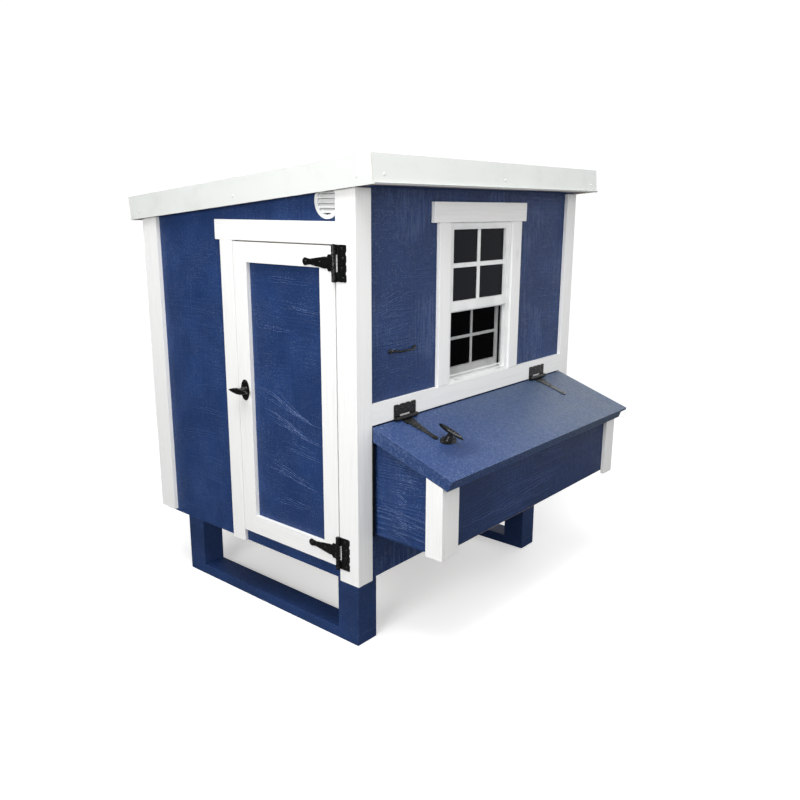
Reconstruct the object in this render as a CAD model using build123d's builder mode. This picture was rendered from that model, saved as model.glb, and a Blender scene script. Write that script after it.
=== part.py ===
"""Raised timber chicken coop with a framed door, a sash window and an outside nest box.

Units are millimetres.  Everything is drawn round the middle of the cabin, on the ground, and
each finished piece is then moved so that the origin is the middle of the front skid's underside.
The door wall faces -Y, the window wall with the nest box faces +X, and the roof rises towards +X.
"""
import os
from math import atan, cos, radians, sin, tan

from build123d import *

# ------------------------------------------------------------------ driving dimensions
cabin_w = 1038.0          # door wall, over the corner boards (X)
cabin_d = 1245.0          # window wall, over the corner boards (Y)
board_t = 14.0            # thickness of the white trim boards
siding_t = 10.0           # thickness of the blue wall panels
batten = 38.0             # small square framing timber
board_w = 63.5            # width of casing, header and door frame boards
gap = 1.0                 # working gap between boards that do not touch
joint = 0.2               # hairline joint between boards nailed at a corner

skid_t, skid_w = 38.0, 89.0
leg_side = 89.0
leg_inset = 76.4          # from the cabin corner to the outer faces of the legs, door and nest side
leg_inset_low = 56.3      # the same on the low side
wall_bottom = 263.5       # lower edge of the wall panels
wall_bottom_low = 274.0   # lower edge of the corner boards on the low side
floor_t = 9.5

roof_angle = 5.23         # degrees
roof_mid_height = 1478.5  # top of the roof sheet above the origin
eave_high = 71.6          # roof overhang past the corner boards, nest side
eave_low = 60.3           # the same on the low side
rake = 13.0               # the same at the door and back walls
sheet_t = 1.0
deck_t = 11.0
fascia_depth = 80.0       # folded edge of the roof sheet, square to the slope
rafter_depth = 64.0

corner_w_high = 78.0      # corner boards on the door wall, hinge side
corner_w_low = 82.0       # corner boards on the door wall, low side
corner_side_w = 50.0      # corner boards on the window wall, behind the door wall's boards

door_w, door_h = 455.0, 978.0
door_bottom = 309.0
header_w = 548.7
door_hinge_edge = 82.0    # from the cabin corner to the door's hinge edge
door_gap = 3.0
door_skin_t = 9.0
stop_lap = 12.0           # how far the door stops reach into the opening

window_y = -2.0           # centre of the window along the wall
window_w, window_h = 362.0, 520.0
frame_face = 16.0
sash_t = 17.0
window_casing_w = 57.0    # boards down the sides of the window
head_overhang = 28.5      # window head past each side board

hinge_board_bottom = 763.0
nest_depth = 264.0        # from the corner boards to the face of the nest box corner boards
nest_near = 65.0          # from the door wall's trim face to the nest box
nest_far = 95.0           # from the back wall's trim face to the nest box
nest_bottom = 412.0
nest_front_bottom = 420.0
nest_board_bottom = 406.0
lid_back_height = 758.5   # top of the lid at the wall
lid_front = 295.8         # from the corner boards to the front edge of the lid
lid_front_height = 655.4
lid_skin_t = 9.0
lid_rim_back = 44.3       # height of the lid's end at the wall
lid_rim_front = 37.3      # the same at the front edge

pin_r = 3.0
knuckle_r = 6.8
hinge_axis_rise = 7.2     # pin centre above the mounting face
plate_t = 2.5
running_gap = 0.08        # radial clearance of everything that turns
shaft_r = 5.0

# ------------------------------------------------------------------ derived places
face_x, face_y = cabin_w / 2, cabin_d / 2                 # faces of the corner boards
wall_x, wall_y = face_x - board_t, face_y - board_t       # outer faces of the wall panels
room_x, room_y = wall_x - siding_t, wall_y - siding_t     # inner faces of the wall panels
post_x, post_y = room_x - batten, room_y - batten
rise = tan(radians(roof_angle))
roof_cos, roof_sin = cos(radians(roof_angle)), sin(radians(roof_angle))
roof_top = Plane(
    origin=(0, 0, roof_mid_height), x_dir=(roof_cos, 0, roof_sin), z_dir=(-roof_sin, 0, roof_cos)
)
deck_depth = sheet_t + deck_t
rail_depth = fascia_depth - 2.0 * sheet_t
roof_high = (face_x + eave_high) / roof_cos               # along the slope
roof_low = -(face_x + eave_low) / roof_cos
roof_y = face_y + rake
leg_xs = (-face_x + leg_inset_low + leg_side / 2, face_x - leg_inset - leg_side / 2)
leg_y = face_y - leg_inset - leg_side / 2
skid_length = cabin_w - leg_inset - leg_inset_low
skid_middle = (leg_xs[0] + leg_xs[1]) / 2
to_origin = Location((-skid_middle, leg_y, 0))            # from the cabin's middle to the front skid's
floor_base = wall_bottom + 0.5
floor_top = floor_base + batten
floor_face = floor_top + floor_t

door_right = face_x - door_hinge_edge
door_left = door_right - door_w
door_top = door_bottom + door_h
opening_left, opening_right = door_left - door_gap, door_right + door_gap
opening_bottom, opening_top = door_bottom - door_gap, door_top + 3.6
door_axis_x = (door_right + face_x - corner_w_high) / 2
hinge_heights = (357.0, 1239.0)

window_bottom = hinge_board_bottom + board_w + 0.5
window_top = window_bottom + window_h

lid_slope = atan((lid_back_height - lid_front_height) / lid_front)
lid_cos, lid_sin = cos(lid_slope), sin(lid_slope)
lid_axis_x = face_x + hinge_axis_rise
lid_axis_z = (
    lid_back_height - tan(lid_slope) * hinge_axis_rise + hinge_axis_rise / lid_cos
)
lid_hinge_ys = (-409.0, 378.0)
nest_y0, nest_y1 = -face_y + nest_near, face_y - nest_far  # over the nest corner boards
nest_face_x = face_x + nest_depth
nest_wall_x = nest_face_x - board_t
nest_room_x = nest_wall_x - siding_t
nest_room_y0 = nest_y0 + board_t + siding_t
nest_room_y1 = nest_y1 - board_t - siding_t
nest_floor_t = 12.0
nest_floor_z = nest_bottom + nest_floor_t
divider_t = 9.0
nest_count = 4
nest_width = (nest_room_y1 - nest_room_y0 - (nest_count - 1) * divider_t) / nest_count
divider_ys = [
    nest_room_y0 + (i + 1) * nest_width + (i + 0.5) * divider_t for i in range(nest_count - 1)
]
lid_plane = Plane(
    origin=(lid_axis_x - hinge_axis_rise * lid_sin, 0, lid_axis_z - hinge_axis_rise * lid_cos),
    x_dir=(lid_cos, 0, -lid_sin),
    z_dir=(lid_sin, 0, lid_cos),
)

os.makedirs("parts", exist_ok=True)
written = []


def save(part, name):
    """Move a finished piece to the origin, label it and write it as its own STEP file."""
    placed = part.moved(to_origin)
    placed.label = name
    export_step(placed, f"parts/{name}.step")
    written.append(name)


def roof_height(x, depth=0.0):
    """Height of the plane that lies depth below the roof's top, at x."""
    return roof_mid_height + x * rise - depth / roof_cos


def lid_rest_height(x):
    """Height of the lid's underside rim at x, which the nest box carries."""
    start = lid_back_height - lid_rim_back
    finish = lid_front_height - lid_rim_front
    return start + (finish - start) * (x - face_x) / lid_front


def box_between(low, high):
    """A square-edged board between two opposite corners."""
    with BuildPart() as board:
        with BuildSketch(Plane.XY.offset(low[2])):
            with Locations(((low[0] + high[0]) / 2, (low[1] + high[1]) / 2)):
                Rectangle(high[0] - low[0], high[1] - low[1])
        extrude(amount=high[2] - low[2])
    return board.part


def rods(plane, spots, radius, length):
    """Round bars that start on a plane."""
    with BuildPart() as bars:
        with BuildSketch(plane):
            with Locations(*spots):
                Circle(radius)
        extrude(amount=length)
    return bars.part


# ------------------------------------------------------------------ skids, legs and floor
with BuildPart() as skids:
    with BuildSketch():
        with Locations((skid_middle, -leg_y), (skid_middle, leg_y)):
            Rectangle(skid_length, skid_w)
    extrude(amount=skid_t)
save(skids.part, "skids")

with BuildPart() as legs:
    with BuildSketch(Plane.XY.offset(skid_t)):
        with Locations(*[(x, side * leg_y) for x in leg_xs for side in (-1, 1)]):
            Rectangle(leg_side, leg_side)
    extrude(amount=floor_base - skid_t)
save(legs.part, "legs")

with BuildPart() as floor_frame:
    with BuildSketch(Plane.XY.offset(floor_base)):
        with Locations((-room_x + batten / 2, 0), (room_x - batten / 2, 0)):
            Rectangle(batten, 2 * room_y)
        with Locations((0, -room_y + batten / 2), (0, room_y - batten / 2)):
            Rectangle(2 * post_x - gap, batten)
        with Locations((0, -leg_y), (0, 0), (0, leg_y)):
            Rectangle(2 * post_x - gap, skid_w)
    extrude(amount=batten)
save(floor_frame.part, "floor_frame")

with BuildPart() as floor_panel:
    with BuildSketch(Plane.XY.offset(floor_top)):
        Rectangle(2 * room_x, 2 * room_y)
    extrude(amount=floor_t)
save(floor_panel.part, "floor_panel")

# ------------------------------------------------------------------ wall framing
plate_tops = {1: roof_height(post_x, deck_depth + rafter_depth)}
plate_tops[-1] = roof_height(-room_x, deck_depth + rafter_depth)
rafter_under = roof_top.offset(-(deck_depth + rafter_depth))
deck_under = roof_top.offset(-deck_depth)

with BuildPart() as wall_plates:
    for side in (-1, 1):
        with BuildSketch(Plane.XY.offset(plate_tops[side] - batten)):
            with Locations((side * (room_x - batten / 2), 0)):
                Rectangle(batten, 2 * room_y)
        extrude(amount=2 * batten)
    split(bisect_by=rafter_under, keep=Keep.BOTTOM)
save(wall_plates.part, "wall_plates")

stop_y = -room_y + batten / 2
latch_stop_x = opening_left + stop_lap - batten / 2
hinge_stop_x = post_x - gap / 2 - batten / 2
stop_head = opening_top - stop_lap

with BuildPart() as door_stops:
    with BuildSketch(Plane.XY.offset(floor_face)):
        with Locations((latch_stop_x, stop_y), (hinge_stop_x, stop_y)):
            Rectangle(batten, batten)
    extrude(amount=stop_head + batten - floor_face)
    with BuildSketch(Plane.XY.offset(stop_head)):
        with Locations(((latch_stop_x + hinge_stop_x) / 2, stop_y)):
            Rectangle(hinge_stop_x - latch_stop_x - batten - gap, batten)
    extrude(amount=batten)
save(door_stops.part, "door_stops")

stud_x = room_x - batten / 2
window_stud_y = (window_w + batten) / 2
with BuildPart() as wall_studs:
    for side in (-1, 1):
        with BuildSketch(Plane.XY.offset(floor_face)):
            with Locations(*[(side * stud_x, end * (room_y - batten / 2)) for end in (-1, 1)]):
                Rectangle(batten, batten)
        extrude(amount=plate_tops[side] - batten - floor_face)
    with BuildSketch(Plane.XY.offset(window_bottom - batten)):
        with Locations((stud_x, 0)):
            Rectangle(batten, 2 * post_y - gap)
    extrude(amount=batten - gap)
    with BuildSketch(Plane.XY.offset(window_bottom)):
        with Locations((stud_x, window_y - window_stud_y), (stud_x, window_y + window_stud_y)):
            Rectangle(batten, batten)
    extrude(amount=plate_tops[1] - batten - window_bottom)
save(wall_studs.part, "wall_studs")

rafter_pitch = 290.0
rafter_ys = (-room_y + batten / 2, -rafter_pitch, 0, rafter_pitch, room_y - batten / 2)
rafter_zone = 400.0
with BuildPart() as rafters:
    with BuildSketch(Plane.XY.offset(roof_mid_height - rafter_zone / 2)):
        with Locations(*[(0, y) for y in rafter_ys]):
            Rectangle(2 * room_x - 2 * gap, batten)
    extrude(amount=rafter_zone)
    split(bisect_by=deck_under, keep=Keep.BOTTOM)
    split(bisect_by=rafter_under, keep=Keep.TOP)
save(rafters.part, "rafters")

# ------------------------------------------------------------------ wall panels
vent_x, vent_z, vent_r = face_x - 119.0, 1410.0, 50.0
vent_hole_r = 42.0
door_face = Plane(origin=(0, -wall_y, 0), x_dir=(1, 0, 0), z_dir=(0, -1, 0))   # local (x, z)
back_face = Plane(origin=(0, wall_y, 0), x_dir=(-1, 0, 0), z_dir=(0, 1, 0))    # local (-x, z)
side_face = Plane(origin=(wall_x, 0, 0), x_dir=(0, 1, 0), z_dir=(1, 0, 0))     # local (y, z)
rear_face = Plane(origin=(-wall_x, 0, 0), x_dir=(0, -1, 0), z_dir=(-1, 0, 0))  # local (-y, z)
tall = 1600.0
wall_mid = (wall_bottom + tall) / 2
opening_mid = ((opening_left + opening_right) / 2, (opening_bottom + opening_top) / 2)

with BuildPart() as door_wall_panel:
    with BuildSketch(door_face):
        with Locations((0, wall_mid)):
            Rectangle(2 * wall_x, tall - wall_bottom)
        with Locations(opening_mid):
            Rectangle(
                opening_right - opening_left, opening_top - opening_bottom, mode=Mode.SUBTRACT
            )
        with Locations((vent_x, vent_z)):
            Circle(vent_hole_r, mode=Mode.SUBTRACT)
    extrude(amount=-siding_t)
    split(bisect_by=deck_under, keep=Keep.BOTTOM)
save(door_wall_panel.part, "door_wall_panel")

pop_w, pop_h = 230.0, 300.0
pop_x, pop_bottom = -150.0, 320.0
pop_corner_r = 8.0

with BuildPart() as back_wall_panel:
    with BuildSketch(back_face):
        with Locations((0, wall_mid)):
            Rectangle(2 * wall_x, tall - wall_bottom)
        with Locations((-pop_x, pop_bottom + pop_h / 2)):
            RectangleRounded(pop_w, pop_h, pop_corner_r, mode=Mode.SUBTRACT)
    extrude(amount=-siding_t)
    split(bisect_by=deck_under, keep=Keep.BOTTOM)
save(back_wall_panel.part, "back_wall_panel")

entry_w, entry_bottom, entry_top = 200.0, 470.0, 690.0
entry_corner_r = 20.0
entry_ys = [nest_room_y0 + (i + 0.5) * nest_width + i * divider_t for i in range(nest_count)]

with BuildPart() as window_wall_panel:
    with BuildSketch(side_face):
        with Locations((0, wall_mid)):
            Rectangle(2 * room_y, tall - wall_bottom)
        with Locations((window_y, window_bottom + window_h / 2)):
            Rectangle(window_w, window_h, mode=Mode.SUBTRACT)
        with Locations(*[(y, (entry_bottom + entry_top) / 2) for y in entry_ys]):
            RectangleRounded(entry_w, entry_top - entry_bottom, entry_corner_r, mode=Mode.SUBTRACT)
    extrude(amount=-siding_t)
    split(bisect_by=deck_under, keep=Keep.BOTTOM)
save(window_wall_panel.part, "window_wall_panel")

with BuildPart() as rear_wall_panel:
    with BuildSketch(rear_face):
        with Locations((0, wall_mid)):
            Rectangle(2 * room_y, tall - wall_bottom)
    extrude(amount=-siding_t)
    split(bisect_by=deck_under, keep=Keep.BOTTOM)
save(rear_wall_panel.part, "rear_wall_panel")

# ------------------------------------------------------------------ strap hinges
pad_half, pad_reach = 52.0, 44.0
strap_half, strap_reach = 24.0, 133.0
strap_side = [
    (2, strap_half), (27, strap_half), (31, 16.5), (42, 17), (104, 8), (109, 9.5), (115, 9.5)
]
pad_screws = [(26, 41), (31, 14), (26, -14), (31, -41)]
strap_screws = [(13, 15), (13, -15), (62, 0), (121, 0)]
screw_r, screw_head_r, screw_bite = 2.0, 4.0, 8.0
screw_dome, screw_taper = 1.8, 35.0
knuckle_gap = 0.5
pad_corner_r = 4.0
scallop_r = 8.0
scallops = [(49, 27), (50, 0), (49, -27)]  # centres of the bites out of the pad's free edge
knuckle_slot = (1.7, 18.0)                 # middle and width of the pad's slot round the strap's knuckle
pin_head, pin_head_h = 1.3, 1.5


def door_hinge_planes(height):
    """Planes on the trim face for the pad and for the strap of a door hinge."""
    centre = (door_axis_x, -face_y, height)
    pad = Plane(origin=centre, x_dir=(1, 0, 0), z_dir=(0, -1, 0))
    strap = Plane(origin=centre, x_dir=(-1, 0, 0), z_dir=(0, -1, 0))
    return pad, strap


def lid_hinge_planes(y):
    """Planes on the hinge board and on the lid for the pad and the strap of a lid hinge."""
    pad = Plane(origin=(face_x, y, lid_axis_z), x_dir=(0, 0, 1), z_dir=(1, 0, 0))
    strap = Plane(
        origin=(lid_plane.origin.X, y, lid_plane.origin.Z),
        x_dir=lid_plane.x_dir,
        z_dir=lid_plane.z_dir,
    )
    return pad, strap


door_hinges = [door_hinge_planes(z) for z in hinge_heights]
lid_hinges = [lid_hinge_planes(y) for y in lid_hinge_ys]
pad_planes = [pad for pad, _ in door_hinges + lid_hinges]


def pin_plane(face, start):
    """Plane square to the hinge pin, start along it from the hinge's middle."""
    centre = face.from_local_coords((0, start, hinge_axis_rise))
    return Plane(origin=centre, x_dir=face.x_dir, z_dir=face.y_dir)


def hinge_pad(face):
    """Fixed leaf: a scalloped plate with a knuckle at each end."""
    with BuildPart() as leaf:
        with BuildSketch(face):
            with Locations((pad_reach / 2, 0)):
                RectangleRounded(pad_reach, 2 * pad_half, pad_corner_r)
            with Locations(*scallops):
                Circle(scallop_r, mode=Mode.SUBTRACT)
            with Locations((knuckle_slot[0], 0)):
                Rectangle(knuckle_slot[1], 2 * (strap_half + knuckle_gap), mode=Mode.SUBTRACT)
            with Locations(*pad_screws):
                Circle(screw_r, mode=Mode.SUBTRACT)
        extrude(amount=plate_t)
        for start in (-pad_half, strap_half + knuckle_gap):
            with BuildSketch(pin_plane(face, start)):
                Circle(knuckle_r)
            extrude(amount=pad_half - strap_half - knuckle_gap)
        with BuildSketch(pin_plane(face, -pad_half - 1)):
            Circle(pin_r)
        extrude(amount=2 * pad_half + 2, mode=Mode.SUBTRACT)
    return leaf.part


def hinge_strap(face):
    """Moving leaf: a stepped root, a tapering strap and a spear-shaped tip."""
    with BuildPart() as leaf:
        with BuildSketch(face):
            with BuildLine():
                near = Polyline(*strap_side)
                far = Polyline(*[(x, -y) for x, y in strap_side])
                ThreePointArc(near @ 1, (strap_reach, 0), far @ 1)
                Line(near @ 0, far @ 0)
            make_face()
            with Locations(*strap_screws):
                Circle(screw_r, mode=Mode.SUBTRACT)
        extrude(amount=plate_t)
        with BuildSketch(pin_plane(face, -strap_half)):
            Circle(knuckle_r)
        extrude(amount=2 * strap_half)
        with BuildSketch(pin_plane(face, -strap_half - 1)):
            Circle(pin_r + running_gap)
        extrude(amount=2 * strap_half + 2, mode=Mode.SUBTRACT)
    return leaf.part


def hinge_pin(face):
    """Pin with a small head on each end."""
    with BuildPart() as pin:
        with BuildSketch(pin_plane(face, -pad_half)):
            Circle(pin_r)
        extrude(amount=2 * pad_half)
        with BuildSketch(pin_plane(face, -pad_half - pin_head_h), pin_plane(face, pad_half)):
            Circle(pin_r + pin_head)
        extrude(amount=pin_head_h)
    return pin.part


def screw(face, spots, bite=screw_bite, plate=plate_t):
    """Domed screws through a plate that lies on the face."""
    with BuildPart() as screws:
        with BuildSketch(face.offset(-bite)):
            with Locations(*spots):
                Circle(screw_r)
        extrude(amount=bite + plate)
        with BuildSketch(face.offset(plate)):
            with Locations(*spots):
                Circle(screw_head_r)
        extrude(amount=screw_dome, taper=screw_taper)
    return screws.part


def screw_holes(face, spots, bite=screw_bite):
    """The pilot holes of those screws."""
    return rods(face.offset(-bite), spots, screw_r, bite)


with BuildPart() as hinge_pads:
    for face in pad_planes:
        add(hinge_pad(face))
save(hinge_pads.part, "hinge_pads")

with BuildPart() as hinge_pins:
    for face in pad_planes:
        add(hinge_pin(face))
save(hinge_pins.part, "hinge_pins")

with BuildPart() as hinge_pad_screws:
    for face in pad_planes:
        add(screw(face, pad_screws))
save(hinge_pad_screws.part, "hinge_pad_screws")

with BuildPart() as door_hinge_straps:
    for _, face in door_hinges:
        add(hinge_strap(face))
save(door_hinge_straps.part, "door_hinge_straps")

with BuildPart() as lid_hinge_straps:
    for _, face in lid_hinges:
        add(hinge_strap(face))
save(lid_hinge_straps.part, "lid_hinge_straps")

# ------------------------------------------------------------------ white corner boards and casings
soffit = roof_top.offset(-fascia_depth)


def upright(x0, x1, y0, y1, base):
    """A corner board, cut along the roof's soffit at its top."""
    with BuildPart() as board:
        add(box_between((x0, y0, base), (x1, y1, tall)))
        split(bisect_by=soffit, keep=Keep.BOTTOM)
    return board.part


with BuildPart() as end_corner_boards:
    for front, back in ((-face_y, -wall_y), (wall_y, face_y)):
        add(upright(face_x - corner_w_high, face_x, front, back, wall_bottom))
        add(upright(-face_x, -face_x + corner_w_low, front, back, wall_bottom_low))
    for pad, _ in door_hinges:
        add(screw_holes(pad, pad_screws), mode=Mode.SUBTRACT)
save(end_corner_boards.part, "end_corner_boards")

with BuildPart() as side_corner_boards:
    for start in (-wall_y, wall_y - corner_side_w):
        add(upright(wall_x, face_x, start, start + corner_side_w, wall_bottom))
        add(upright(-face_x, -wall_x, start, start + corner_side_w, wall_bottom_low))
save(side_corner_boards.part, "side_corner_boards")

header_left = face_x - corner_w_high - header_w
with BuildPart() as door_header:
    add(
        box_between(
            (header_left, -face_y, opening_top),
            (face_x - corner_w_high, -wall_y, opening_top + board_w),
        )
    )
save(door_header.part, "door_header")

with BuildPart() as door_casing:
    add(
        box_between(
            (opening_left - board_w, -face_y, wall_bottom), (opening_left, -wall_y, opening_top)
        )
    )
save(door_casing.part, "door_casing")

with BuildPart() as hinge_board:
    add(
        box_between(
            (wall_x, -wall_y + corner_side_w, hinge_board_bottom),
            (face_x, wall_y - corner_side_w, hinge_board_bottom + board_w),
        )
    )
    for pad, _ in lid_hinges:
        add(screw_holes(pad, pad_screws), mode=Mode.SUBTRACT)
save(hinge_board.part, "hinge_board")

casing_y = (window_w + window_casing_w) / 2
head_w = window_w + 2 * (window_casing_w + head_overhang)
with BuildPart() as window_casings:
    with BuildSketch(side_face):
        with Locations(
            (window_y - casing_y, window_bottom + window_h / 2),
            (window_y + casing_y, window_bottom + window_h / 2),
        ):
            Rectangle(window_casing_w, window_h)
        with Locations((window_y, window_top + joint + board_w / 2)):
            Rectangle(head_w, board_w)
    extrude(amount=board_t)
save(window_casings.part, "window_casings")

# ------------------------------------------------------------------ door
latch_x, latch_z = door_left + 34.0, 808.0
lid_latch_out = 148.0     # from the corner boards to the lid latch
latch_face = Plane(origin=(latch_x, -face_y, latch_z), x_dir=(1, 0, 0), z_dir=(0, -1, 0))
latch_screws = [(0, 26), (0, -26)]
door_front = Plane(origin=(0, -face_y, 0), x_dir=(1, 0, 0), z_dir=(0, -1, 0))
door_corners = [
    (door_left, door_bottom), (door_right, door_bottom), (door_right, door_top), (door_left, door_top)
]


def door_board(start, finish):
    """One mitred board of the door's frame, along the edge from start to finish."""
    inset = {
        (door_left, door_bottom): (1, 1), (door_right, door_bottom): (-1, 1),
        (door_right, door_top): (-1, -1), (door_left, door_top): (1, -1),
    }
    inner = [
        (corner[0] + board_w * inset[corner][0], corner[1] + board_w * inset[corner][1])
        for corner in (finish, start)
    ]
    with BuildPart() as board:
        with BuildSketch(door_front):
            with BuildLine():
                Polyline(start, finish, *inner, close=True)
            make_face()
        extrude(amount=-board_t)
    return board.part


strap_holes = [screw_holes(strap, strap_screws) for _, strap in door_hinges]

with BuildPart() as door_bottom_rail:
    add(door_board(door_corners[0], door_corners[1]))
    for holes in strap_holes:
        add(holes, mode=Mode.SUBTRACT)
save(door_bottom_rail.part, "door_bottom_rail")

with BuildPart() as door_hinge_stile:
    add(door_board(door_corners[1], door_corners[2]))
    for holes in strap_holes:
        add(holes, mode=Mode.SUBTRACT)
save(door_hinge_stile.part, "door_hinge_stile")

with BuildPart() as door_top_rail:
    add(door_board(door_corners[2], door_corners[3]))
    for holes in strap_holes:
        add(holes, mode=Mode.SUBTRACT)
save(door_top_rail.part, "door_top_rail")

with BuildPart() as door_latch_stile:
    add(door_board(door_corners[3], door_corners[0]))
    add(screw_holes(latch_face, latch_screws), mode=Mode.SUBTRACT)
    shaft_hole = rods(latch_face.offset(-board_t), [(0, 0)], shaft_r + running_gap, board_t)
    add(shaft_hole, mode=Mode.SUBTRACT)
save(door_latch_stile.part, "door_latch_stile")

with BuildPart() as door_panel:
    with BuildSketch(door_face):
        with Locations(((door_left + door_right) / 2, (door_bottom + door_top) / 2)):
            Rectangle(door_w, door_h)
        with Locations((latch_x, latch_z)):
            Circle(shaft_r + running_gap, mode=Mode.SUBTRACT)
    extrude(amount=-door_skin_t)
save(door_panel.part, "door_panel")

# ------------------------------------------------------------------ T-handle latches
base_half_w, base_half_h = 20.0, 35.0
boss_r, boss_h, boss_taper = 14.0, 20.0, 16.0
bar_half, bar_half_w, bar_t = 48.0, 10.0, 9.5
bar_chamfer = 3.0
door_bar_height, lid_bar_height = 27.0, 28.0
cam_w, cam_t = 18.0, 4.0
door_cam_length, lid_cam_length = 48.0, 95.0


def latch_base(face):
    """Egg-shaped plate with a bored boss."""
    with BuildPart() as base:
        with BuildSketch(face):
            Ellipse(base_half_w, base_half_h)
            with Locations(*latch_screws):
                Circle(screw_r, mode=Mode.SUBTRACT)
        extrude(amount=plate_t)
        with BuildSketch(face.offset(plate_t)):
            Circle(boss_r)
        extrude(amount=boss_h, taper=boss_taper)
        with BuildSketch(face.offset(-1)):
            Circle(shaft_r + running_gap)
        extrude(amount=boss_h + plate_t + 2, mode=Mode.SUBTRACT)
    return base.part


def latch_handle(face, reach, bar_height):
    """Leaf-shaped cross bar on a round shaft that goes reach behind the face."""
    with BuildPart() as handle:
        with BuildSketch(face.offset(bar_height)):
            with BuildLine():
                ThreePointArc((-bar_half, 0), (0, bar_half_w), (bar_half, 0))
                ThreePointArc((bar_half, 0), (0, -bar_half_w), (-bar_half, 0))
            make_face()
        extrude(amount=bar_t)
        outer_face = faces().sort_by(Axis(face.origin, face.z_dir))[-1]
        chamfer(outer_face.edges(), bar_chamfer)
        with BuildSketch(face.offset(-reach)):
            Circle(shaft_r)
        extrude(amount=reach + bar_height)
    return handle.part


def latch_cam(face, reach, direction, length):
    """Locking arm on the inner end of the shaft."""
    with BuildPart() as cam:
        arm = Plane(origin=face.from_local_coords((0, 0, -reach)), x_dir=direction, z_dir=face.z_dir)
        with BuildSketch(arm):
            with Locations((length / 2, 0)):
                SlotCenterToCenter(length, cam_w)
            Circle(shaft_r, mode=Mode.SUBTRACT)
        extrude(amount=cam_t)
    return cam.part


door_latch_reach = board_t + siding_t + batten + 6
with BuildPart() as door_latch_base:
    add(latch_base(latch_face))
save(door_latch_base.part, "door_latch_base")
with BuildPart() as door_screws:
    for _, face in door_hinges:
        add(screw(face, strap_screws))
    add(screw(latch_face, latch_screws))
save(door_screws.part, "door_screws")
with BuildPart() as door_latch_handle:
    add(latch_handle(latch_face, door_latch_reach, door_bar_height))
save(door_latch_handle.part, "door_latch_handle")
with BuildPart() as door_latch_cam:
    add(latch_cam(latch_face, door_latch_reach, (0, 0, -1), door_cam_length))
save(door_latch_cam.part, "door_latch_cam")

lid_latch_s = (face_x + lid_latch_out - lid_plane.origin.X) / lid_cos
lid_latch_y = -379.5
lid_latch_face = Plane(
    origin=lid_plane.from_local_coords((lid_latch_s, lid_latch_y, 0)),
    x_dir=lid_plane.x_dir,
    z_dir=lid_plane.z_dir,
)
lid_latch_reach = 61.0
up_slope = (-lid_cos, 0, lid_sin)

with BuildPart() as lid_latch_base:
    add(latch_base(lid_latch_face))
save(lid_latch_base.part, "lid_latch_base")
with BuildPart() as lid_screws:
    for _, face in lid_hinges:
        add(screw(face, strap_screws))
    add(screw(lid_latch_face, latch_screws))
save(lid_screws.part, "lid_screws")
with BuildPart() as lid_latch_handle:
    add(latch_handle(lid_latch_face, lid_latch_reach, lid_bar_height))
save(lid_latch_handle.part, "lid_latch_handle")
with BuildPart() as lid_latch_cam:
    add(latch_cam(lid_latch_face, lid_latch_reach, up_slope, lid_cam_length))
save(lid_latch_cam.part, "lid_latch_cam")

# ------------------------------------------------------------------ window
frame_back, frame_front = 460.0, 511.0
sill_t = 11.0
bead, bead_t = 5.0, 4.0
light_w = window_w - 2 * frame_face
light_bottom, light_top = window_bottom + sill_t, window_top - frame_face
upper_back, lower_back = 492.0, 469.0
glass_t = 3.0
glass_set = 3.0           # from the sash's back to the pane
muntin_t = 4.0
weep_out, weep_w, weep_h, weep_depth = 130.0, 22.0, 3.5, 6.0
weep_z = light_bottom - 4
bead_backs = (lower_back - 2 - bead_t, upper_back - 1 - bead_t)


def window_plane(x):
    """Plane across the window at x; local coordinates are (y, z)."""
    return side_face.offset(x - wall_x)


with BuildPart() as window_frame:
    with BuildSketch(window_plane(frame_back)):
        with Locations((window_y, window_bottom + window_h / 2)):
            Rectangle(window_w - gap, window_h - gap)
        with Locations((window_y, (light_bottom + light_top) / 2)):
            Rectangle(light_w, light_top - light_bottom, mode=Mode.SUBTRACT)
    extrude(amount=frame_front - frame_back)
    for back in bead_backs:
        with BuildSketch(window_plane(back)):
            with Locations(
                (window_y - (light_w - bead) / 2, (light_bottom + light_top) / 2),
                (window_y + (light_w - bead) / 2, (light_bottom + light_top) / 2),
            ):
                Rectangle(bead, light_top - light_bottom)
        extrude(amount=bead_t)
    with BuildSketch(window_plane(frame_front)):
        with Locations((window_y - weep_out, weep_z), (window_y + weep_out, weep_z)):
            SlotOverall(weep_w, weep_h)
    extrude(amount=-weep_depth, mode=Mode.SUBTRACT)
save(window_frame.part, "window_frame")


def sash(back, clearance, low, high, stile, bottom_rail, top_rail, muntin_w):
    """Ring of a sash with a cross of glazing bars in front of the pane; and the pane."""
    width = light_w - 2 * clearance
    pane_w, pane_h = width - 2 * stile, high - low - bottom_rail - top_rail
    pane_mid = (window_y, low + bottom_rail + pane_h / 2)
    with BuildPart() as ring:
        with BuildSketch(window_plane(back)):
            with Locations((window_y, (low + high) / 2)):
                Rectangle(width, high - low)
            with Locations(pane_mid):
                Rectangle(pane_w, pane_h, mode=Mode.SUBTRACT)
        extrude(amount=sash_t)
        with BuildSketch(window_plane(back + glass_set + glass_t)):
            with Locations(pane_mid):
                Rectangle(pane_w, muntin_w)
                Rectangle(muntin_w, pane_h)
        extrude(amount=muntin_t)
    with BuildPart() as pane:
        with BuildSketch(window_plane(back + glass_set)):
            with Locations(pane_mid):
                Rectangle(pane_w, pane_h)
        extrude(amount=glass_t)
    return ring.part, pane.part


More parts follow.
